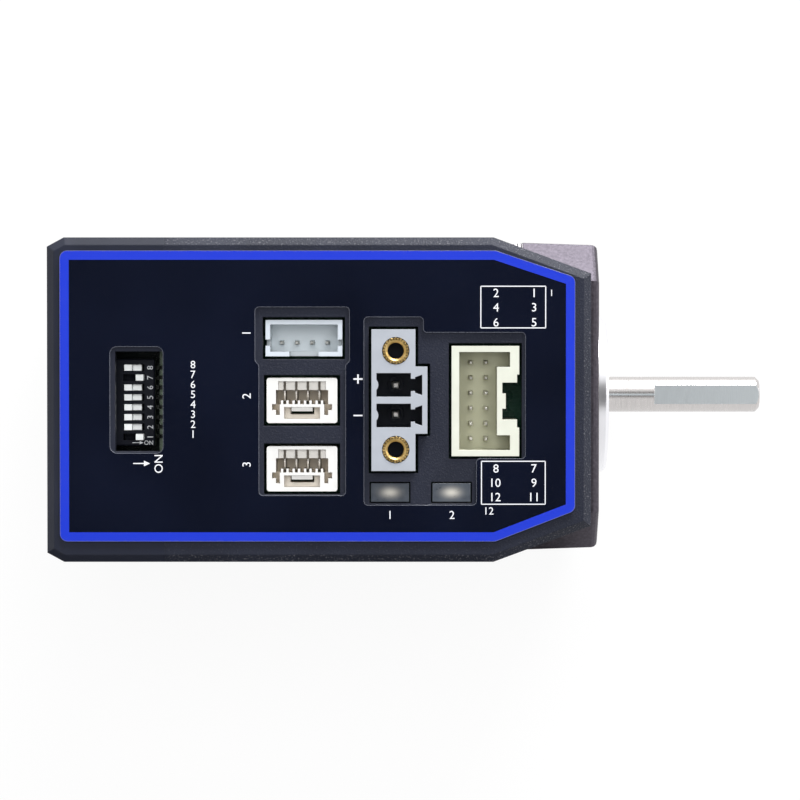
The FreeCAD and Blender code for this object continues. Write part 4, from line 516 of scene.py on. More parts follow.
dress(ground_steel("ground shaft steel", (0.64, 0.615, 0.605), 0.28, flat_level=SHAFT_FLAT_LEVEL), "shaft")
dress(ground_steel("bearing steel", (0.66, 0.66, 0.68), 0.16, line_size=0.3), "front_bearing_outer_ring",
      "front_bearing_inner_ring", "rear_bearing_outer_ring", "rear_bearing_inner_ring")
dress(ground_steel("blued spring steel", (0.30, 0.33, 0.42), 0.30), "wave_washer")
dress(ground_steel("blackened screw steel", (0.055, 0.055, 0.06), 0.38), "motor_screws",
      "housing_screws", "rear_cover_screws")

# %% [markdown]
# ## Windings
#
# The inside is shut in, but the model may be taken apart, so each inner piece has its real finish.
# Enamelled wire lies in close turns round each pole. A wave across the coil gives its relief, and painted
# shade in the gaps between turns, which is far cheaper than a mesh of every turn.

# %% Coils
WIRE_DIAMETER = 0.35
GAP_SHADE_COPPER = (0.16, 0.04, 0.01)


def wire_turns():
    """Copper wire in close turns, with painted shade in the gaps between them."""
    finish = Finish("enamelled copper wire", (0.60, 0.20, 0.06), 0.25, metallic=1.0)
    point, _, y, z = finish.place()
    turn = finish.maths("SINE", finish.distance(y, z) * (2 * math.pi / WIRE_DIAMETER)) * 0.5 + 0.5
    shade = finish.noise(point, 0.9)
    copper = finish.ramp(shade, (0.3, (0.42, 0.11, 0.03)), (0.7, (0.72, 0.27, 0.09)))
    # The darker copper in the gaps is painted shade between the turns.
    finish.set(base_color=finish.mix(turn, GAP_SHADE_COPPER, copper))
    finish.set(roughness=finish.grade(shade, *NOISE_SPAN, 0.2, 0.34))
    return finish.relief(turn, 0.12)


dress(wire_turns(), "phase_a_coils", "phase_b_coils")

# %% [markdown]
# ## Plain plastics and plain metals
#
# Most small pieces are plain, but no real plastic or metal is perfectly even. Slow clouds move the
# colour and the gloss by a few hundredths, and a very fine grain breaks up the mirror image. All
# plain plastics share that skin, so it is a function of its own.

# %% Makers of plain finishes
CLOUD_SIZE = 1.6
PLASTIC_GRAIN_SIZE = 0.09
PLASTIC_GRAIN_DEPTH = 0.0035
METAL_GRAIN_DEPTH = 0.003
METAL_DARKER = 0.80


def plastic_skin(finish, point, cloud, roughness, edge):
    """Cloudy gloss, a very fine grain and softened edges."""
    finish.set(roughness=finish.grade(cloud, 0.0, 1.0, roughness - 0.05, roughness + 0.07))
    return finish.relief(finish.noise(point, PLASTIC_GRAIN_SIZE), PLASTIC_GRAIN_DEPTH, edge)


def moulding(name, colour, roughness, edge=0.08, mottle=0.10, **fixed):
    """Moulded plastic whose colour darkens here and there by a share of `mottle`."""
    finish = Finish(name, colour, roughness, **fixed)
    point = finish.place()[0]
    cloud = finish.clouds(point, CLOUD_SIZE, detail=3.0)
    finish.set(base_color=finish.mix(cloud, scaled(colour, 1 - mottle), colour))
    return plastic_skin(finish, point, cloud, roughness, edge)


def metal(name, colour, roughness, grain):
    """Metal with a little variation of colour and polish, in patches of `grain` millimetres."""
    finish = Finish(name, colour, roughness, metallic=1.0)
    cloud = finish.clouds(finish.place()[0], grain, detail=3.0)
    finish.set(base_color=finish.mix(cloud, scaled(colour, METAL_DARKER), colour))
    finish.set(roughness=finish.grade(cloud, 0.0, 1.0, roughness - 0.06, roughness + 0.08))
    return finish.relief(cloud, METAL_GRAIN_DEPTH, edge=0.06)


print("plain plastics have a grain", PLASTIC_GRAIN_SIZE, "mm across")

# %% [markdown]
# ## Inner pieces
#
# Shut inside are the bobbins that hold the coils, the magnets, the brass spacers that carry the
# boards, the plate that spreads their heat, and the chips. Each could have a finish made by hand,
# but none of them shows while the motor is whole, so the plain makers are enough.

# %% Dress the inner pieces
dress(moulding("natural bobbin plastic", (0.66, 0.62, 0.52), 0.5), "front_bobbin", "rear_bobbin")
dress(metal("sintered magnet", (0.12, 0.12, 0.13), 0.5, 0.5), "rotor_magnet")
dress(metal("nickel plate", (0.62, 0.60, 0.57), 0.22, 1.5), "encoder_magnet")
dress(metal("turned brass", (0.70, 0.48, 0.16), 0.26, 0.8), "magnet_holder", "encoder_spacers",
      "board_spacers")
dress(metal("milled aluminium", (0.58, 0.59, 0.61), 0.42, 1.0), "base_plate")
dress(metal("capacitor can", (0.66, 0.66, 0.68), 0.28, 1.2), "capacitors")
dress(moulding("grey heat pad", (0.20, 0.23, 0.26), 0.7), "thermal_pads")
dress(moulding("chip resin", (0.012, 0.012, 0.013), 0.42, edge=0.05), "encoder_chip", "power_transistors",
      "control_chips")
dress(moulding("lead insulation", (0.03, 0.03, 0.033), 0.45, edge=0.0), "phase_leads")
dress(moulding("socket plastic", (0.62, 0.58, 0.46), 0.45), "ribbon_sockets")

# %% [markdown]
# ## Circuit boards
#
# Solder mask is a thin green gloss over copper tracks that stand a few hundredths proud. A brick pattern
# with long thin bricks reads as runs of tracks. Only a little of the driver board is seen, in the signal
# header's notch and beside the switch bank. Round the bank the board is painted near black as shade, with
# a strip of lighter olive along the bank's front.

# %% Solder mask
BANK_STRIP_X = (-59.0, -57.4)
BANK_HALF_LENGTH = 7.0
OLIVE = (0.12, 0.16, 0.115)
PAINTED_BANK_SHADE = (0.002, 0.004, 0.004)
TRACK = {"scale": 0.9, "mortar_size": 0.06, "brick_width": 2.6, "row_height": 0.5}


def solder_mask():
    """Solder mask over tracks, with painted shade round the switch bank and a lighter olive strip along
    its front.
    """
    finish = Finish("green solder mask", (0.005, 0.03, 0.02), 0.3)
    point, x, y, _ = finish.place()
    runs = finish.node("TexBrick", {"offset": 0.4}, output="Fac", vector=point, **TRACK)
    cloud = finish.noise(point, 2.0)
    green = finish.ramp(cloud, (0.3, (0.004, 0.022, 0.014)), (0.7, (0.007, 0.034, 0.021)))
    tracked = finish.mix(runs, green, (0.010, 0.040, 0.024))
    bank = (x < BANK_STRIP_X[1]) * (finish.maths("ABSOLUTE", y) < BANK_HALF_LENGTH)
    # Painted shade: the board round the switch bank is painted near black; a strip along its front is
    # painted a lighter olive.
    shaded = finish.mix(bank, tracked, PAINTED_BANK_SHADE)
    finish.set(base_color=finish.mix(bank * (x > BANK_STRIP_X[0]), shaded, OLIVE))
    finish.set(roughness=finish.grade(cloud, *NOISE_SPAN, 0.22, 0.36))
    return finish.relief(runs, 0.02)


dress(solder_mask(), "driver_board", "encoder_board")

# %% [markdown]
# ## The encoder's flat cable
#
# A flat cable is a row of thin wires in one grey sleeve, so its face is a row of ribs. One sine wave
# across it gives both the relief and painted light and shade: lighter crests and darker valleys.

# %% Flat cable
CABLE_WIRE_PITCH = 0.5


def flat_cable():
    """Grey sleeve with a rib over each wire."""
    finish = Finish("flat cable", (0.62, 0.62, 0.60), 0.4)
    y = finish.place()[2]
    rib = finish.maths("SINE", y * (2 * math.pi / CABLE_WIRE_PITCH)) * 0.5 + 0.5
    # Painted shade in the valleys and painted light on the crests.
    finish.set(base_color=finish.mix(rib, (0.42, 0.42, 0.40), (0.72, 0.72, 0.70)))
    return finish.relief(rib, 0.08)


dress(flat_cable(), "encoder_ribbon")

# %% [markdown]
# ## Headers
#
# The plugs' headers are moulded in different plastics: ivory for the signals, a milky clear one for the
# serial plug, near-white for the two bus plugs, and grey for the power plug. Light fades on its way down a
# narrow well more than a few bounces show, so each finish also takes a second colour below its rim,
# painted to stand for the light there: painted shade in most wells, near black in the power plug's
# sockets, and a little painted light on the serial plug's lighter floor.

# %% Header plastics
RIM_DEPTH = 0.08
WALL_DARKER = 0.94
POWER_WELL = (-30.35, -24.25, 3.6)


def walled_moulding(name, colour, painted_well_colour, top, drop, roughness=0.34, room=None):
    """Plastic with a second colour painted inside its wells: darker as shade, lighter as light. `room`
    bounds them in plan: x, x, half width.
    """
    finish = Finish(name, colour, roughness)
    point, x, y, z = finish.place()
    cloud = finish.clouds(point, CLOUD_SIZE, detail=3.0)
    shell = finish.mix(cloud, scaled(colour, WALL_DARKER), colour)
    inside = finish.grade(z, top - drop, top - RIM_DEPTH, 1.0, 0.0)
    if room:
        rear, front, half = room
        well = (z < top - RIM_DEPTH) * (x > rear) * (x < front) * (finish.maths("ABSOLUTE", y) < half)
        inside = finish.largest(well, z < top - drop)
    finish.set(base_color=finish.mix(inside, shell, painted_well_colour))
    return plastic_skin(finish, point, cloud, roughness, edge=0.10)


# Second colours: painted shade for the ivory, bus and power headers, painted light on the serial header's
# floor.
dress(walled_moulding("ivory header plastic", (0.61, 0.625, 0.545), (0.40, 0.40, 0.285),
                      top_of("signal_header"), drop=2.5), "signal_header")
dress(walled_moulding("milky header plastic", (0.55, 0.60, 0.66), (0.60, 0.655, 0.69),
                      top_of("serial_header"), drop=1.2), "serial_header")
for bus in ("upper_bus_connector", "lower_bus_connector"):
    dress(walled_moulding("near-white connector plastic", (0.70, 0.695, 0.68), (0.72, 0.63, 0.51),
                          top_of(bus), drop=3.5), bus)
dress(walled_moulding("grey header plastic", (0.36, 0.385, 0.43), (0.010, 0.012, 0.018),
                      top_of("power_header"), drop=1.5, roughness=0.36, room=POWER_WELL), "power_header")

# %% [markdown]
# ## Pins and contacts
#
# Pins are tin plated and the switches' feet are soldered, so plain metal does for both, though the feet's
# dark grey is painted shade. The bus connectors' blades are bronze, with painted shade at their sides and
# on the ledge where they end, and their bright colour between. Their own corners and the step from one
# connector to the other give the masks.

# %% Pins, feet and blades
CONTACT_PITCH = 1.5
CONTACT_WIDTH = 0.3
CONTACT_BRIGHT_HALF = 0.09
LEDGE_LENGTH = 1.25
PAINTED_CONTACT_SHADE = (0.24, 0.215, 0.185)
contact_low, contact_high = corners_of("bus_contacts")
bus_spacing = corners_of("upper_bus_connector")[0].y - corners_of("lower_bus_connector")[0].y


def contact_bronze():
    """Bronze blades, with painted shade at their sides and on the ledge where they end."""
    finish = Finish("bronze contact", (0.80, 0.77, 0.72), 0.42, metallic=1.0)
    point, x, y, _ = finish.place()
    along = finish.maths("FRACT", (x - contact_low.x) * (1 / CONTACT_PITCH)) * CONTACT_PITCH
    side = finish.maths("ABSOLUTE", along - CONTACT_WIDTH / 2) > CONTACT_BRIGHT_HALF
    upper_ledge = contact_high.y - LEDGE_LENGTH
    lower_ledge = upper_ledge - bus_spacing
    on_lower = (y > lower_ledge) * (y < lower_ledge + 2 * LEDGE_LENGTH)
    # Painted shade: the blades' sides and the ledges where they end are painted darker.
    contact_shade_mask = finish.largest(side, y > upper_ledge, on_lower)
    cloud = finish.clouds(point, 0.3, detail=3.0)
    bright = finish.mix(cloud, (0.74, 0.71, 0.66), (0.92, 0.90, 0.86))
    finish.set(base_color=finish.mix(contact_shade_mask, bright, PAINTED_CONTACT_SHADE))
    finish.set(roughness=finish.grade(cloud, 0.0, 1.0, 0.34, 0.48))
    return finish.relief(cloud, 0.003, edge=0.04)


dress(metal("bright tin plate", (0.92, 0.90, 0.85), 0.48, 0.5), "signal_header_pins", "serial_header_pins",
      "power_header_pins")
# Painted shade: the switches' feet take a dark grey that stands for the shade in the switch window.
dress(metal("solder in painted shade", (0.20, 0.22, 0.20), 0.3, 0.5), "switch_terminals")
dress(contact_bronze(), "bus_contacts")
print("the bus connectors stand", round(bus_spacing, 3), "mm apart")

# %% [markdown]
# ## Threaded inserts
#
# The power header is held by two brass inserts. The angle round an insert, times the number of
# teeth, is a wave that draws the knurl on its lip. The bore is painted nearly black, as the thread
# inside sends little light back.

# %% Insert brass
INSERT_X = -27.75
INSERT_Y = 6.4
KNURL_RADIUS = 1.42
KNURL_TEETH = 26
KNURL_SHADE = (0.30, 0.19, 0.08)
BORE_SHADE = (0.01, 0.008, 0.006)
LIP_DEPTH = 0.35


def insert_brass():
    """Knurled brass lip, and a bore that is dark as little light gets down it."""
    finish = Finish("insert brass", (0.80, 0.56, 0.20), 0.28, metallic=1.0)
    point, x, y, z = finish.place()
    cloud = finish.clouds(point, 0.7, detail=3.0)
    brass = finish.mix(cloud, (0.62, 0.42, 0.14), (0.86, 0.62, 0.26))
    along = finish.maths("ABSOLUTE", y) - INSERT_Y
    across = x - INSERT_X
    teeth = finish.maths("SINE", finish.maths("ARCTAN2", along, across) * KNURL_TEETH) > 0.2
    knurl = teeth * (finish.distance(along, across) > KNURL_RADIUS)
    bore = z < top_of("power_header_inserts") - LIP_DEPTH
    finish.set(base_color=finish.mix(bore, finish.mix(knurl, brass, KNURL_SHADE), BORE_SHADE))
    finish.set(roughness=finish.grade(cloud, 0.0, 1.0, 0.30, 0.44))
    return finish.relief(cloud + knurl * -4.0, 0.01, edge=0.08)


dress(insert_brass(), "power_header_inserts")

# %% [markdown]
# ## Light guides and their chips
#
# Each light is a small chip under a smoky guide that ends flush with the cover. A clear guide would
# need light to be traced through it, which is slow and noisy. Here the guide is opaque, and a soft
# warm patch in its middle, a bell curve of the distance, stands for the chip's light.

# %% Light guides and chips
GLOW_HALF_LENGTH = 1.35
GLOW_HALF_WIDTH = 0.75
GLOW_FALL = -1.6
GUIDE_LENGTH = 4.95
PATCH_COLOUR = (0.40, 0.385, 0.35)
PATCH_GLOW = (0.14, 0.13, 0.115)
guide_low, guide_high = corners_of("light_guides")
guide_places = (guide_low.x + GUIDE_LENGTH / 2, guide_high.x - GUIDE_LENGTH / 2)
guide_y = (guide_low.y + guide_high.y) / 2


def smoky_guide():
    """Smoky plastic with the chip's light spread to a soft patch in the middle of each guide."""
    finish = Finish("smoky light guide", (0.05, 0.06, 0.075), 0.3)
    point, x, y, _ = finish.place()
    patch = 0.0
    for centre in guide_places:
        across = (x - centre) * (1 / GLOW_HALF_LENGTH)
        along = (y - guide_y) * (1 / GLOW_HALF_WIDTH)
        patch = finish.maths("EXPONENT", (across * across + along * along) * GLOW_FALL) + patch
    cloud = finish.noise(point, 0.8, detail=3.0)
    smoke = finish.ramp(cloud, (0.3, (0.040, 0.048, 0.062)), (0.7, (0.060, 0.070, 0.086)))
    finish.set(base_color=finish.mix(patch, smoke, PATCH_COLOUR))
    finish.set(emission_color=finish.mix(patch, BLACK, PATCH_GLOW), emission_strength=0.6)
    finish.set(roughness=finish.grade(cloud, *NOISE_SPAN, 0.26, 0.38))
    return finish.relief(cloud, 0.01, edge=0.12)


def light_chip():
    """A chip that glows faintly."""
    finish = Finish("light chip", (0.85, 0.78, 0.58), 0.3)
    cloud = finish.noise(finish.place()[0], 0.5)
    glow = finish.ramp(cloud, (0.3, (0.9, 0.72, 0.45)), (0.7, (1.0, 0.86, 0.62)))
    return finish.set(base_color=glow, emission_color=glow, emission_strength=0.5)


dress(smoky_guide(), "light_guides")
dress(light_chip(), "indicator_leds")

# %% [markdown]
# ## Switches
#
# The switch bank is black resin with eight white sliders, deep in its window. The resin is given a
# weak mirror, since dull black plastic in a well has nothing bright to reflect.

# %% Switch plastics
SWITCH_COUNT = 8

dress(moulding("black switch resin", (0.006, 0.007, 0.011), 0.40, edge=0.06, specular_ior_level=0.2),
      "switch_body")
dress(moulding("white slider plastic", (0.93, 0.96, 0.96), 0.38),
      *[f"switch_slider_{number}" for number in range(1, SWITCH_COUNT + 1)])

# %% [markdown]
# ## Ink
#
# Screen print is ink about a hundredth of a millimetre thick. It could be an image, but an image
# blurs when the camera comes close, so each mark is a thin mesh that lies on its surface and rides
# on the motor's fixed body. The label's ink is a clean white, and the switch bank's is greyer.

# %% Ink, and a piece that rides on a body
INK_LIFT = 0.012
LABEL_TOP = LABEL_HIGH.z
ink = moulding("white print", (0.74, 0.75, 0.78), 0.5, edge=0.0, mottle=0.04)
faint_ink = moulding("grey print", (0.52, 0.54, 0.56), 0.5, edge=0.0, mottle=0.04)


def add_print(name, mesh, finish):
    """A printed mark from a mesh, riding on the motor's fixed body."""
    piece = bpy.data.objects.new(name, mesh)
    bpy.context.scene.collection.objects.link(piece)
    wear(piece, finish)
    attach(piece, "frame")


print("ink lies", INK_LIFT, "mm above its surface")

# %% [markdown]
# ## Printed figures
#
# Blender's own font draws the figures as a curve, which is turned into a flat mesh at once. Print is
# sized by the height of its figures and placed by its middle, so the mesh is centred, scaled, turned
# and carried to its place by one chain of matrices.

# %% Figures
LETTER_STEPS = 3


def flat_letters(name, text):
    """The text's flat mesh, at the font's own size."""
    curve = bpy.data.curves.new(name, "FONT")
    curve.body = text
    curve.resolution_u = LETTER_STEPS
    source = bpy.data.objects.new(name + "_source", curve)
    bpy.context.scene.collection.objects.link(source)
    bpy.context.view_layer.update()
    mesh = bpy.data.meshes.new_from_object(source.evaluated_get(bpy.context.evaluated_depsgraph_get()))
    bpy.data.objects.remove(source)
    return mesh


def print_text(name, text, centre, height, turn=0.0, level=LABEL_TOP, finish=ink):
    """Printed text: `height` of its figures, centred on a place, both in millimetres."""
    mesh = flat_letters(name, text)
    xs = [vertex.co.x for vertex in mesh.vertices]
    ys = [vertex.co.y for vertex in mesh.vertices]
    middle = Vector((min(xs) + max(xs), min(ys) + max(ys), 0.0)) / 2
    size = height / (max(ys) - min(ys)) * MM
    spot = Vector((*centre, level + INK_LIFT)) * MM
    mesh.transform(Matrix.Translation(spot) @ Matrix.Rotation(math.radians(turn), 4, "Z")
                   @ Matrix.Diagonal((size, size, size, 1.0)) @ Matrix.Translation(-middle))
    add_print(name, mesh, finish)


print("each bend of a figure takes", LETTER_STEPS, "steps")

# %% [markdown]
# ## Printed lines and arrows
#
# Lines are long thin rectangles and arrow heads are triangles. One mesh holds all the faces of a
# mark, and its corners aren't shared between faces, which is the simplest way to list them.

# %% Lines and arrows
HEAD_HALF_SHARE = 0.45


def print_shape(name, faces, level=LABEL_TOP, finish=ink):
    """Printed flat faces, each a list of corners in millimetres."""
    corners = []
    indices = []
    for face in faces:
        indices.append(range(len(corners), len(corners) + len(face)))
        corners += [(x * MM, y * MM, (level + INK_LIFT) * MM) for x, y in face]
    mesh = bpy.data.meshes.new(name)
    mesh.from_pydata(corners, [], [list(index) for index in indices])
    add_print(name, mesh, finish)


def strip(ax, ay, bx, by, width):
    """Corners of a straight printed line."""
    length = math.hypot(bx - ax, by - ay)
    side_x = -(by - ay) / length * width / 2
    side_y = (bx - ax) / length * width / 2
    return [(ax + side_x, ay + side_y), (ax - side_x, ay - side_y), (bx - side_x, by - side_y),
            (bx + side_x, by + side_y)]


def print_arrow(name, tail, tip, width, head, level=LABEL_TOP, finish=ink):
    """A printed arrow: a line and a triangular head."""
    (ax, ay), (bx, by) = tail, tip
    length = math.hypot(bx - ax, by - ay)
    ux = (bx - ax) / length
    uy = (by - ay) / length
    neck_x = bx - ux * head
    neck_y = by - uy * head
    half = head * HEAD_HALF_SHARE
    triangle = [(bx, by), (neck_x - uy * half, neck_y + ux * half),
                (neck_x + uy * half, neck_y - ux * half)]
    print_shape(name, [strip(ax, ay, neck_x, neck_y, width), triangle], level, finish)


print("an arrow's head is", 2 * HEAD_HALF_SHARE, "times as wide as it is long")

# %% [markdown]
# ## Marks beside the switches
#
# The places are read off the photograph, where one millimetre on the cover is 7.7 pixels. A row of
# plain figures numbers the switches from the bottom up, and an arrow with the word ON shows which
# way they close.

# %% Print beside the switches
PIXELS_PER_MM = 7.7
PHOTO_CENTRE = (400.0, 400.5)
COVER_CENTRE_X = -27.2
SWITCH_FIGURES_PX = 193
FIRST_SWITCH_PY = 434.6
LAST_SWITCH_PY = 365.0
ARROW_TAIL_PX = (133, 464)
ARROW_TIP_PX = (150, 464)
ON_WORD_PX = (158.5, 464.5)
SWITCH_FIGURE_HEIGHT = 0.98
FIGURE_HEIGHT = 1.1


def on_cover(px, py):
    """A pixel of the photograph as a place on the cover, in millimetres."""
    x = COVER_CENTRE_X + (px - PHOTO_CENTRE[0]) / PIXELS_PER_MM
    y = (PHOTO_CENTRE[1] - py) / PIXELS_PER_MM
    return x, y


row_step = (FIRST_SWITCH_PY - LAST_SWITCH_PY) / (SWITCH_COUNT - 1)
for number in range(1, SWITCH_COUNT + 1):
    figure_place = on_cover(SWITCH_FIGURES_PX, FIRST_SWITCH_PY - (number - 1) * row_step)
    print_text(f"switch_number_{number}", str(number), figure_place, SWITCH_FIGURE_HEIGHT)
print_arrow("switch_arrow", on_cover(*ARROW_TAIL_PX), on_cover(*ARROW_TIP_PX), width=0.14, head=0.8)
print_text("switch_on_word", "ON", on_cover(*ON_WORD_PX), FIGURE_HEIGHT, turn=90)
print("numbered", SWITCH_COUNT, "switches, one every", round(row_step / PIXELS_PER_MM, 2), "mm")

# %% [markdown]
# ## Marks beside the headers and lights
#
# The ports and the lights carry plain figures, and the power header a plus and a minus. The minus is
# a drawn strip, because a font's own minus has no height to size it by.

# %% Print beside the headers and lights
PORT_FIGURES_PX = 246.5
PORT_ROWS_PY = (333.5, 396.5, 465)
PLUS_PX = (358, 379.5)
MINUS_ENDS_PX = ((353.5, 416), (362.5, 416))
LIGHT_FIGURES_PX = (390, 452)
LIGHT_FIGURES_PY = 515.5

for number, row in enumerate(PORT_ROWS_PY, start=1):
    figure_place = on_cover(PORT_FIGURES_PX, row)
    print_text(f"port_number_{number}", str(number), figure_place, FIGURE_HEIGHT, turn=90)
print_text("power_plus", "+", on_cover(*PLUS_PX), height=1.2)
minus_start, minus_end = (on_cover(*end) for end in MINUS_ENDS_PX)
print_shape("power_minus", [strip(*minus_start, *minus_end, width=0.18)])
for number, column in enumerate(LIGHT_FIGURES_PX, start=1):
    print_text(f"light_number_{number}", str(number), on_cover(column, LIGHT_FIGURES_PY), height=1.05)
print("numbered", len(PORT_ROWS_PY), "ports and", len(LIGHT_FIGURES_PX), "lights")

# %% [markdown]
# ## Pin tables
#
# Two framed tables beside the signal header number its pins in two columns. One function draws
# both: a frame of four strips, then a plain number in each place.

# %% Print the pin tables
TABLE_COLUMNS_PX = (496, 534)
UPPER_TABLE_PX = ((480.8, 286.8), (545.6, 328.4))
UPPER_ROWS_PY = (293.4, 307.8, 322.8)
LOWER_TABLE_PX = ((481.5, 461.8), (545.3, 504.8))
LOWER_ROWS_PY = (469.0, 483.3, 497.6)
FIRST_PIN_PX = (551.5, 293.4)
LAST_PIN_PX = (489.5, 511.5)


def pin_table(name, corners, rows, first_number):
    """A frame round two columns of pin numbers, where the odd ones stand in the right column."""
    (left, top), (right, bottom) = (on_cover(*corner) for corner in corners)
    edges = [(left, top, right, top), (left, bottom, right, bottom), (left, top, left, bottom),
             (right, top, right, bottom)]
    print_shape(name + "_frame", [strip(*edge, width=0.13) for edge in edges])
    for index, row in enumerate(rows):
        odd = first_number + 2 * index
        for number, column in zip((odd + 1, odd), TABLE_COLUMNS_PX):
            print_text(f"{name}_pin_{number}", str(number), on_cover(column, row), FIGURE_HEIGHT)


pin_table("upper_pin_table", UPPER_TABLE_PX, UPPER_ROWS_PY, first_number=1)
pin_table("lower_pin_table", LOWER_TABLE_PX, LOWER_ROWS_PY, first_number=7)
print_text("first_pin", "1", on_cover(*FIRST_PIN_PX), height=0.8)
print_text("last_pin", "12", on_cover(*LAST_PIN_PX), height=0.95)
print("pin tables have", len(UPPER_ROWS_PY) + len(LOWER_ROWS_PY), "rows")

# %% [markdown]
# ## Print on the switch bank
#
# The bank itself carries small figures beside its sliders. Each slider's own middle gives its
# figure's place, so the figures stay in line with the sliders whatever their pitch.

# %% Print on the switch bank
FIGURES_IN_FROM_FRONT = 0.62
ON_WORD_IN_FROM_FRONT = 0.82
ARROW_IN_FROM_FRONT = (2.95, 1.5)
MARK_IN_FROM_SIDE = 0.40
switch_low, switch_high = corners_of("switch_body")
bank_print = {"level": switch_high.z, "finish": faint_ink}

for number in range(1, SWITCH_COUNT + 1):
    slider_low, slider_high = corners_of(f"switch_slider_{number}")
    figure_place = (switch_high.x - FIGURES_IN_FROM_FRONT, (slider_low.y + slider_high.y) / 2)
    print_text(f"slider_number_{number}", str(number), figure_place, height=0.78, turn=90, **bank_print)
mark_y = switch_low.y + MARK_IN_FROM_SIDE
tail, tip = ((switch_high.x - inward, mark_y) for inward in ARROW_IN_FROM_FRONT)
print_arrow("body_arrow", tail, tip, width=0.08, head=0.5, **bank_print)
on_place = (switch_high.x - ON_WORD_IN_FROM_FRONT, mark_y)
print_text("body_on_word", "ON", on_place, height=0.55, **bank_print)
print("figures stand", round(switch_high.z, 2), "mm above the shaft's axis, on the bank")

# %% [markdown]
# ## Floor
#
# The motor lies on a pale floor in front of pure white. A floor that is only painted white renders
# grey, so it also shines a little where the camera or a mirror sees it. Near the motor the painted
# part keeps a trace of shadow, and further out the shine takes over, so that no horizon shows.

# %% Floor
NEAR_WHITE = 0.92
SHADOW_REACH = (90.0, 260.0)
STAGE_CENTRE = Vector((-0.025, 0.0, 0.02))
FLOOR_HALF = 1.2
FLOOR_DROP = 0.0001
PURE_WHITE = (1.0, 1.0, 1.0)


def flat_piece(name, half_x, half_y, centre, tilt_deg=0.0):
    """A rectangle for the stage, level unless it is tilted about X."""
    corners = [(a * half_x, b * half_y, 0.0) for a, b in ((-1, -1), (1, -1), (1, 1), (-1, 1))]
    mesh = bpy.data.meshes.new(name)
    mesh.from_pydata(corners, [], [(0, 1, 2, 3)])
    piece = bpy.data.objects.new(name, mesh)
    piece.location = centre
    piece.rotation_euler = (math.radians(tilt_deg), 0.0, 0.0)
    bpy.context.scene.collection.objects.link(piece)
    return piece


def floor_white():
    """White paint that shines for the camera and in mirrors, more so away from the motor."""
    finish = Finish("white floor", (0.90, 0.90, 0.90), 0.8)
    rays = finish.node("LightPath", {})
    _, x, y, _ = finish.place()
    shine = finish.grade(finish.distance(x, y), *SHADOW_REACH, NEAR_WHITE, 1.0)
    seen = finish.largest(rays.output("Is Camera Ray"), rays.output("Is Glossy Ray"))
    white = finish.node("Emission", {}, color=PURE_WHITE, strength=1.0)
    paint = Value(finish, finish.surface.outputs[0])
    mixed = finish.node("MixShader", {}, in_0=seen * shine, in_1=paint, in_2=white)
    finish.tree.links.new(mixed.socket, finish.tree.nodes["Material Output"].inputs["Surface"])
    return finish


floor_level = cad_box[0][2]
floor = flat_piece("floor", FLOOR_HALF, FLOOR_HALF, (STAGE_CENTRE.x, 0.0, floor_level - FLOOR_DROP))
wear(floor, floor_white())
print("floor at", round(floor_level / MM, 2), "mm")

# %% [markdown]
# ## Dark cards
#
# A glossy dark label mirrors whatever hangs above the camera, and white there would wash it out. So
# a dark card hangs above it, as in any product studio. A second, small card stands along the side
# that faces away from the main light, so that the motor's edges have something dark to mirror there.
# Both only show in mirrors: they cast no shadow and the camera looks through them.

# %% Cards
def hang_card(name, half_x, half_y, centre, tilt_deg=0.0):
    """A black card that is seen only in reflections."""
    card = flat_piece(name, half_x, half_y, centre, tilt_deg)
    wear(card, Finish("black card", (0.01, 0.01, 0.01), 0.9))
    card.visible_camera = False
    card.visible_diffuse = False
    card.visible_shadow = False
    print(card.name, "at", [round(part, 3) for part in card.location])


hang_card("dark_card", 0.26, 0.26, (STAGE_CENTRE.x, 0.0, 0.80))
hang_card("dark_side_card", 0.080, 0.034, (-0.081, -0.045, 0.013), tilt_deg=90)

# %% [markdown]
# ## Studio lights
#
# The picture is lit softly and from far to one side, which is what lets the bevel and the grain
# show. A weaker light from the shaft's end shapes the shaft. A third from above lifts the wells of
# the headers, and is left out of reflections so that the label stays dark.

# %% Studio lights
def soft_light(name, azimuth, elevation, distance, size, power, mirrored=True):
    """A large square light that faces the motor, placed by its direction."""
    across = math.radians(azimuth)
    up = math.radians(elevation)
    towards = Vector((math.cos(across) * math.cos(up), math.sin(across) * math.cos(up), math.sin(up)))
    lamp = bpy.data.lights.new(name, "AREA")
    lamp.size = size
    lamp.energy = power
    holder = bpy.data.objects.new(name, lamp)
    holder.location = STAGE_CENTRE + towards * distance
    holder.rotation_euler = (-towards).to_track_quat("-Z", "Y").to_euler()
    holder.visible_glossy = mirrored
    bpy.context.scene.collection.objects.link(holder)
    print(name, "gives", power, "W")


soft_light("key_light", azimuth=76, elevation=18, distance=0.75, size=0.40, power=10.5)
soft_light("shaft_light", azimuth=20, elevation=8, distance=0.80, size=0.30, power=1.1)
soft_light("top_light", azimuth=80, elevation=80, distance=0.70, size=0.40, power=3.8, mirrored=False)

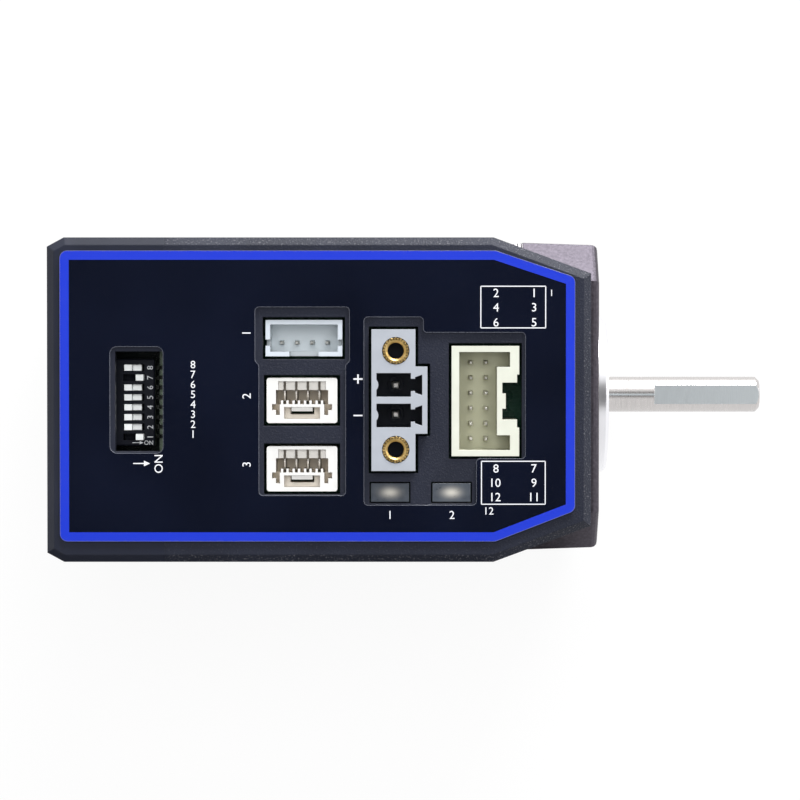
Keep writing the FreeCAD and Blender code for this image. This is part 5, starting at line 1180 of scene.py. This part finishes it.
# %% [markdown]
# ## Sky
#
# The background is pure white wherever it is seen, straight or in a mirror. As a light it would be
# far too strong and flat, so it lights the motor with less than a third of that.

# %% Sky
SKY_SEEN = 1.0
SKY_AS_LIGHT = 0.3

world = bpy.data.worlds.new("studio")
world.use_nodes = True
bpy.context.scene.world = world
sky = Web(world.node_tree)
rays = sky.node("LightPath", {})
shown = sky.largest(*(rays.output(f"Is {kind} Ray") for kind in ("Camera", "Transmission", "Glossy")))
background = world.node_tree.nodes["Background"]
sky.feed(background.inputs["Color"], PURE_WHITE)
sky.feed(background.inputs["Strength"], shown * (SKY_SEEN - SKY_AS_LIGHT) + SKY_AS_LIGHT)
print("sky lights the motor at", SKY_AS_LIGHT, "of what is seen")

# %% [markdown]
# ## Camera
#
# The photograph looks down from 0.41 m above the cover. The shaft, which lies lower than the cover,
# stands a few pixels nearer to the picture's top, so the eye is 8 mm to that side of the middle. It
# looks straight at the middle of the cover, so the lens needs no shift. Its length follows from the
# scale at the cover.

# %% Camera
CAMERA_HEIGHT = 410.0
EYE_Y = 8.2
PHOTO_WIDTH = 800
SENSOR_WIDTH = 36.0

camera = bpy.data.cameras.new("camera")
camera.sensor_width = SENSOR_WIDTH
camera.lens = PIXELS_PER_MM * math.hypot(EYE_Y, CAMERA_HEIGHT) / PHOTO_WIDTH * SENSOR_WIDTH
camera.clip_start = 0.01
camera.clip_end = 10.0
eye = bpy.data.objects.new("camera", camera)
eye.location = Vector((COVER_CENTRE_X, EYE_Y, LABEL_TOP + CAMERA_HEIGHT)) * MM
eye.rotation_euler = (-math.atan2(EYE_Y, CAMERA_HEIGHT), 0.0, 0.0)
bpy.context.scene.collection.objects.link(eye)
bpy.context.scene.camera = eye
bpy.context.scene.view_settings.view_transform = "Standard"
print("lens", round(camera.lens, 1), "mm, looking straight at the cover")

# %% [markdown]
# ## The packed motor's size
#
# The imported motor's box, taken before the print, floor and cards were added, is written down in
# millimetres.

# %% Note the size
print("the packed motor is", [round((high - low) / MM, 2) for low, high in zip(*cad_box)], "mm")
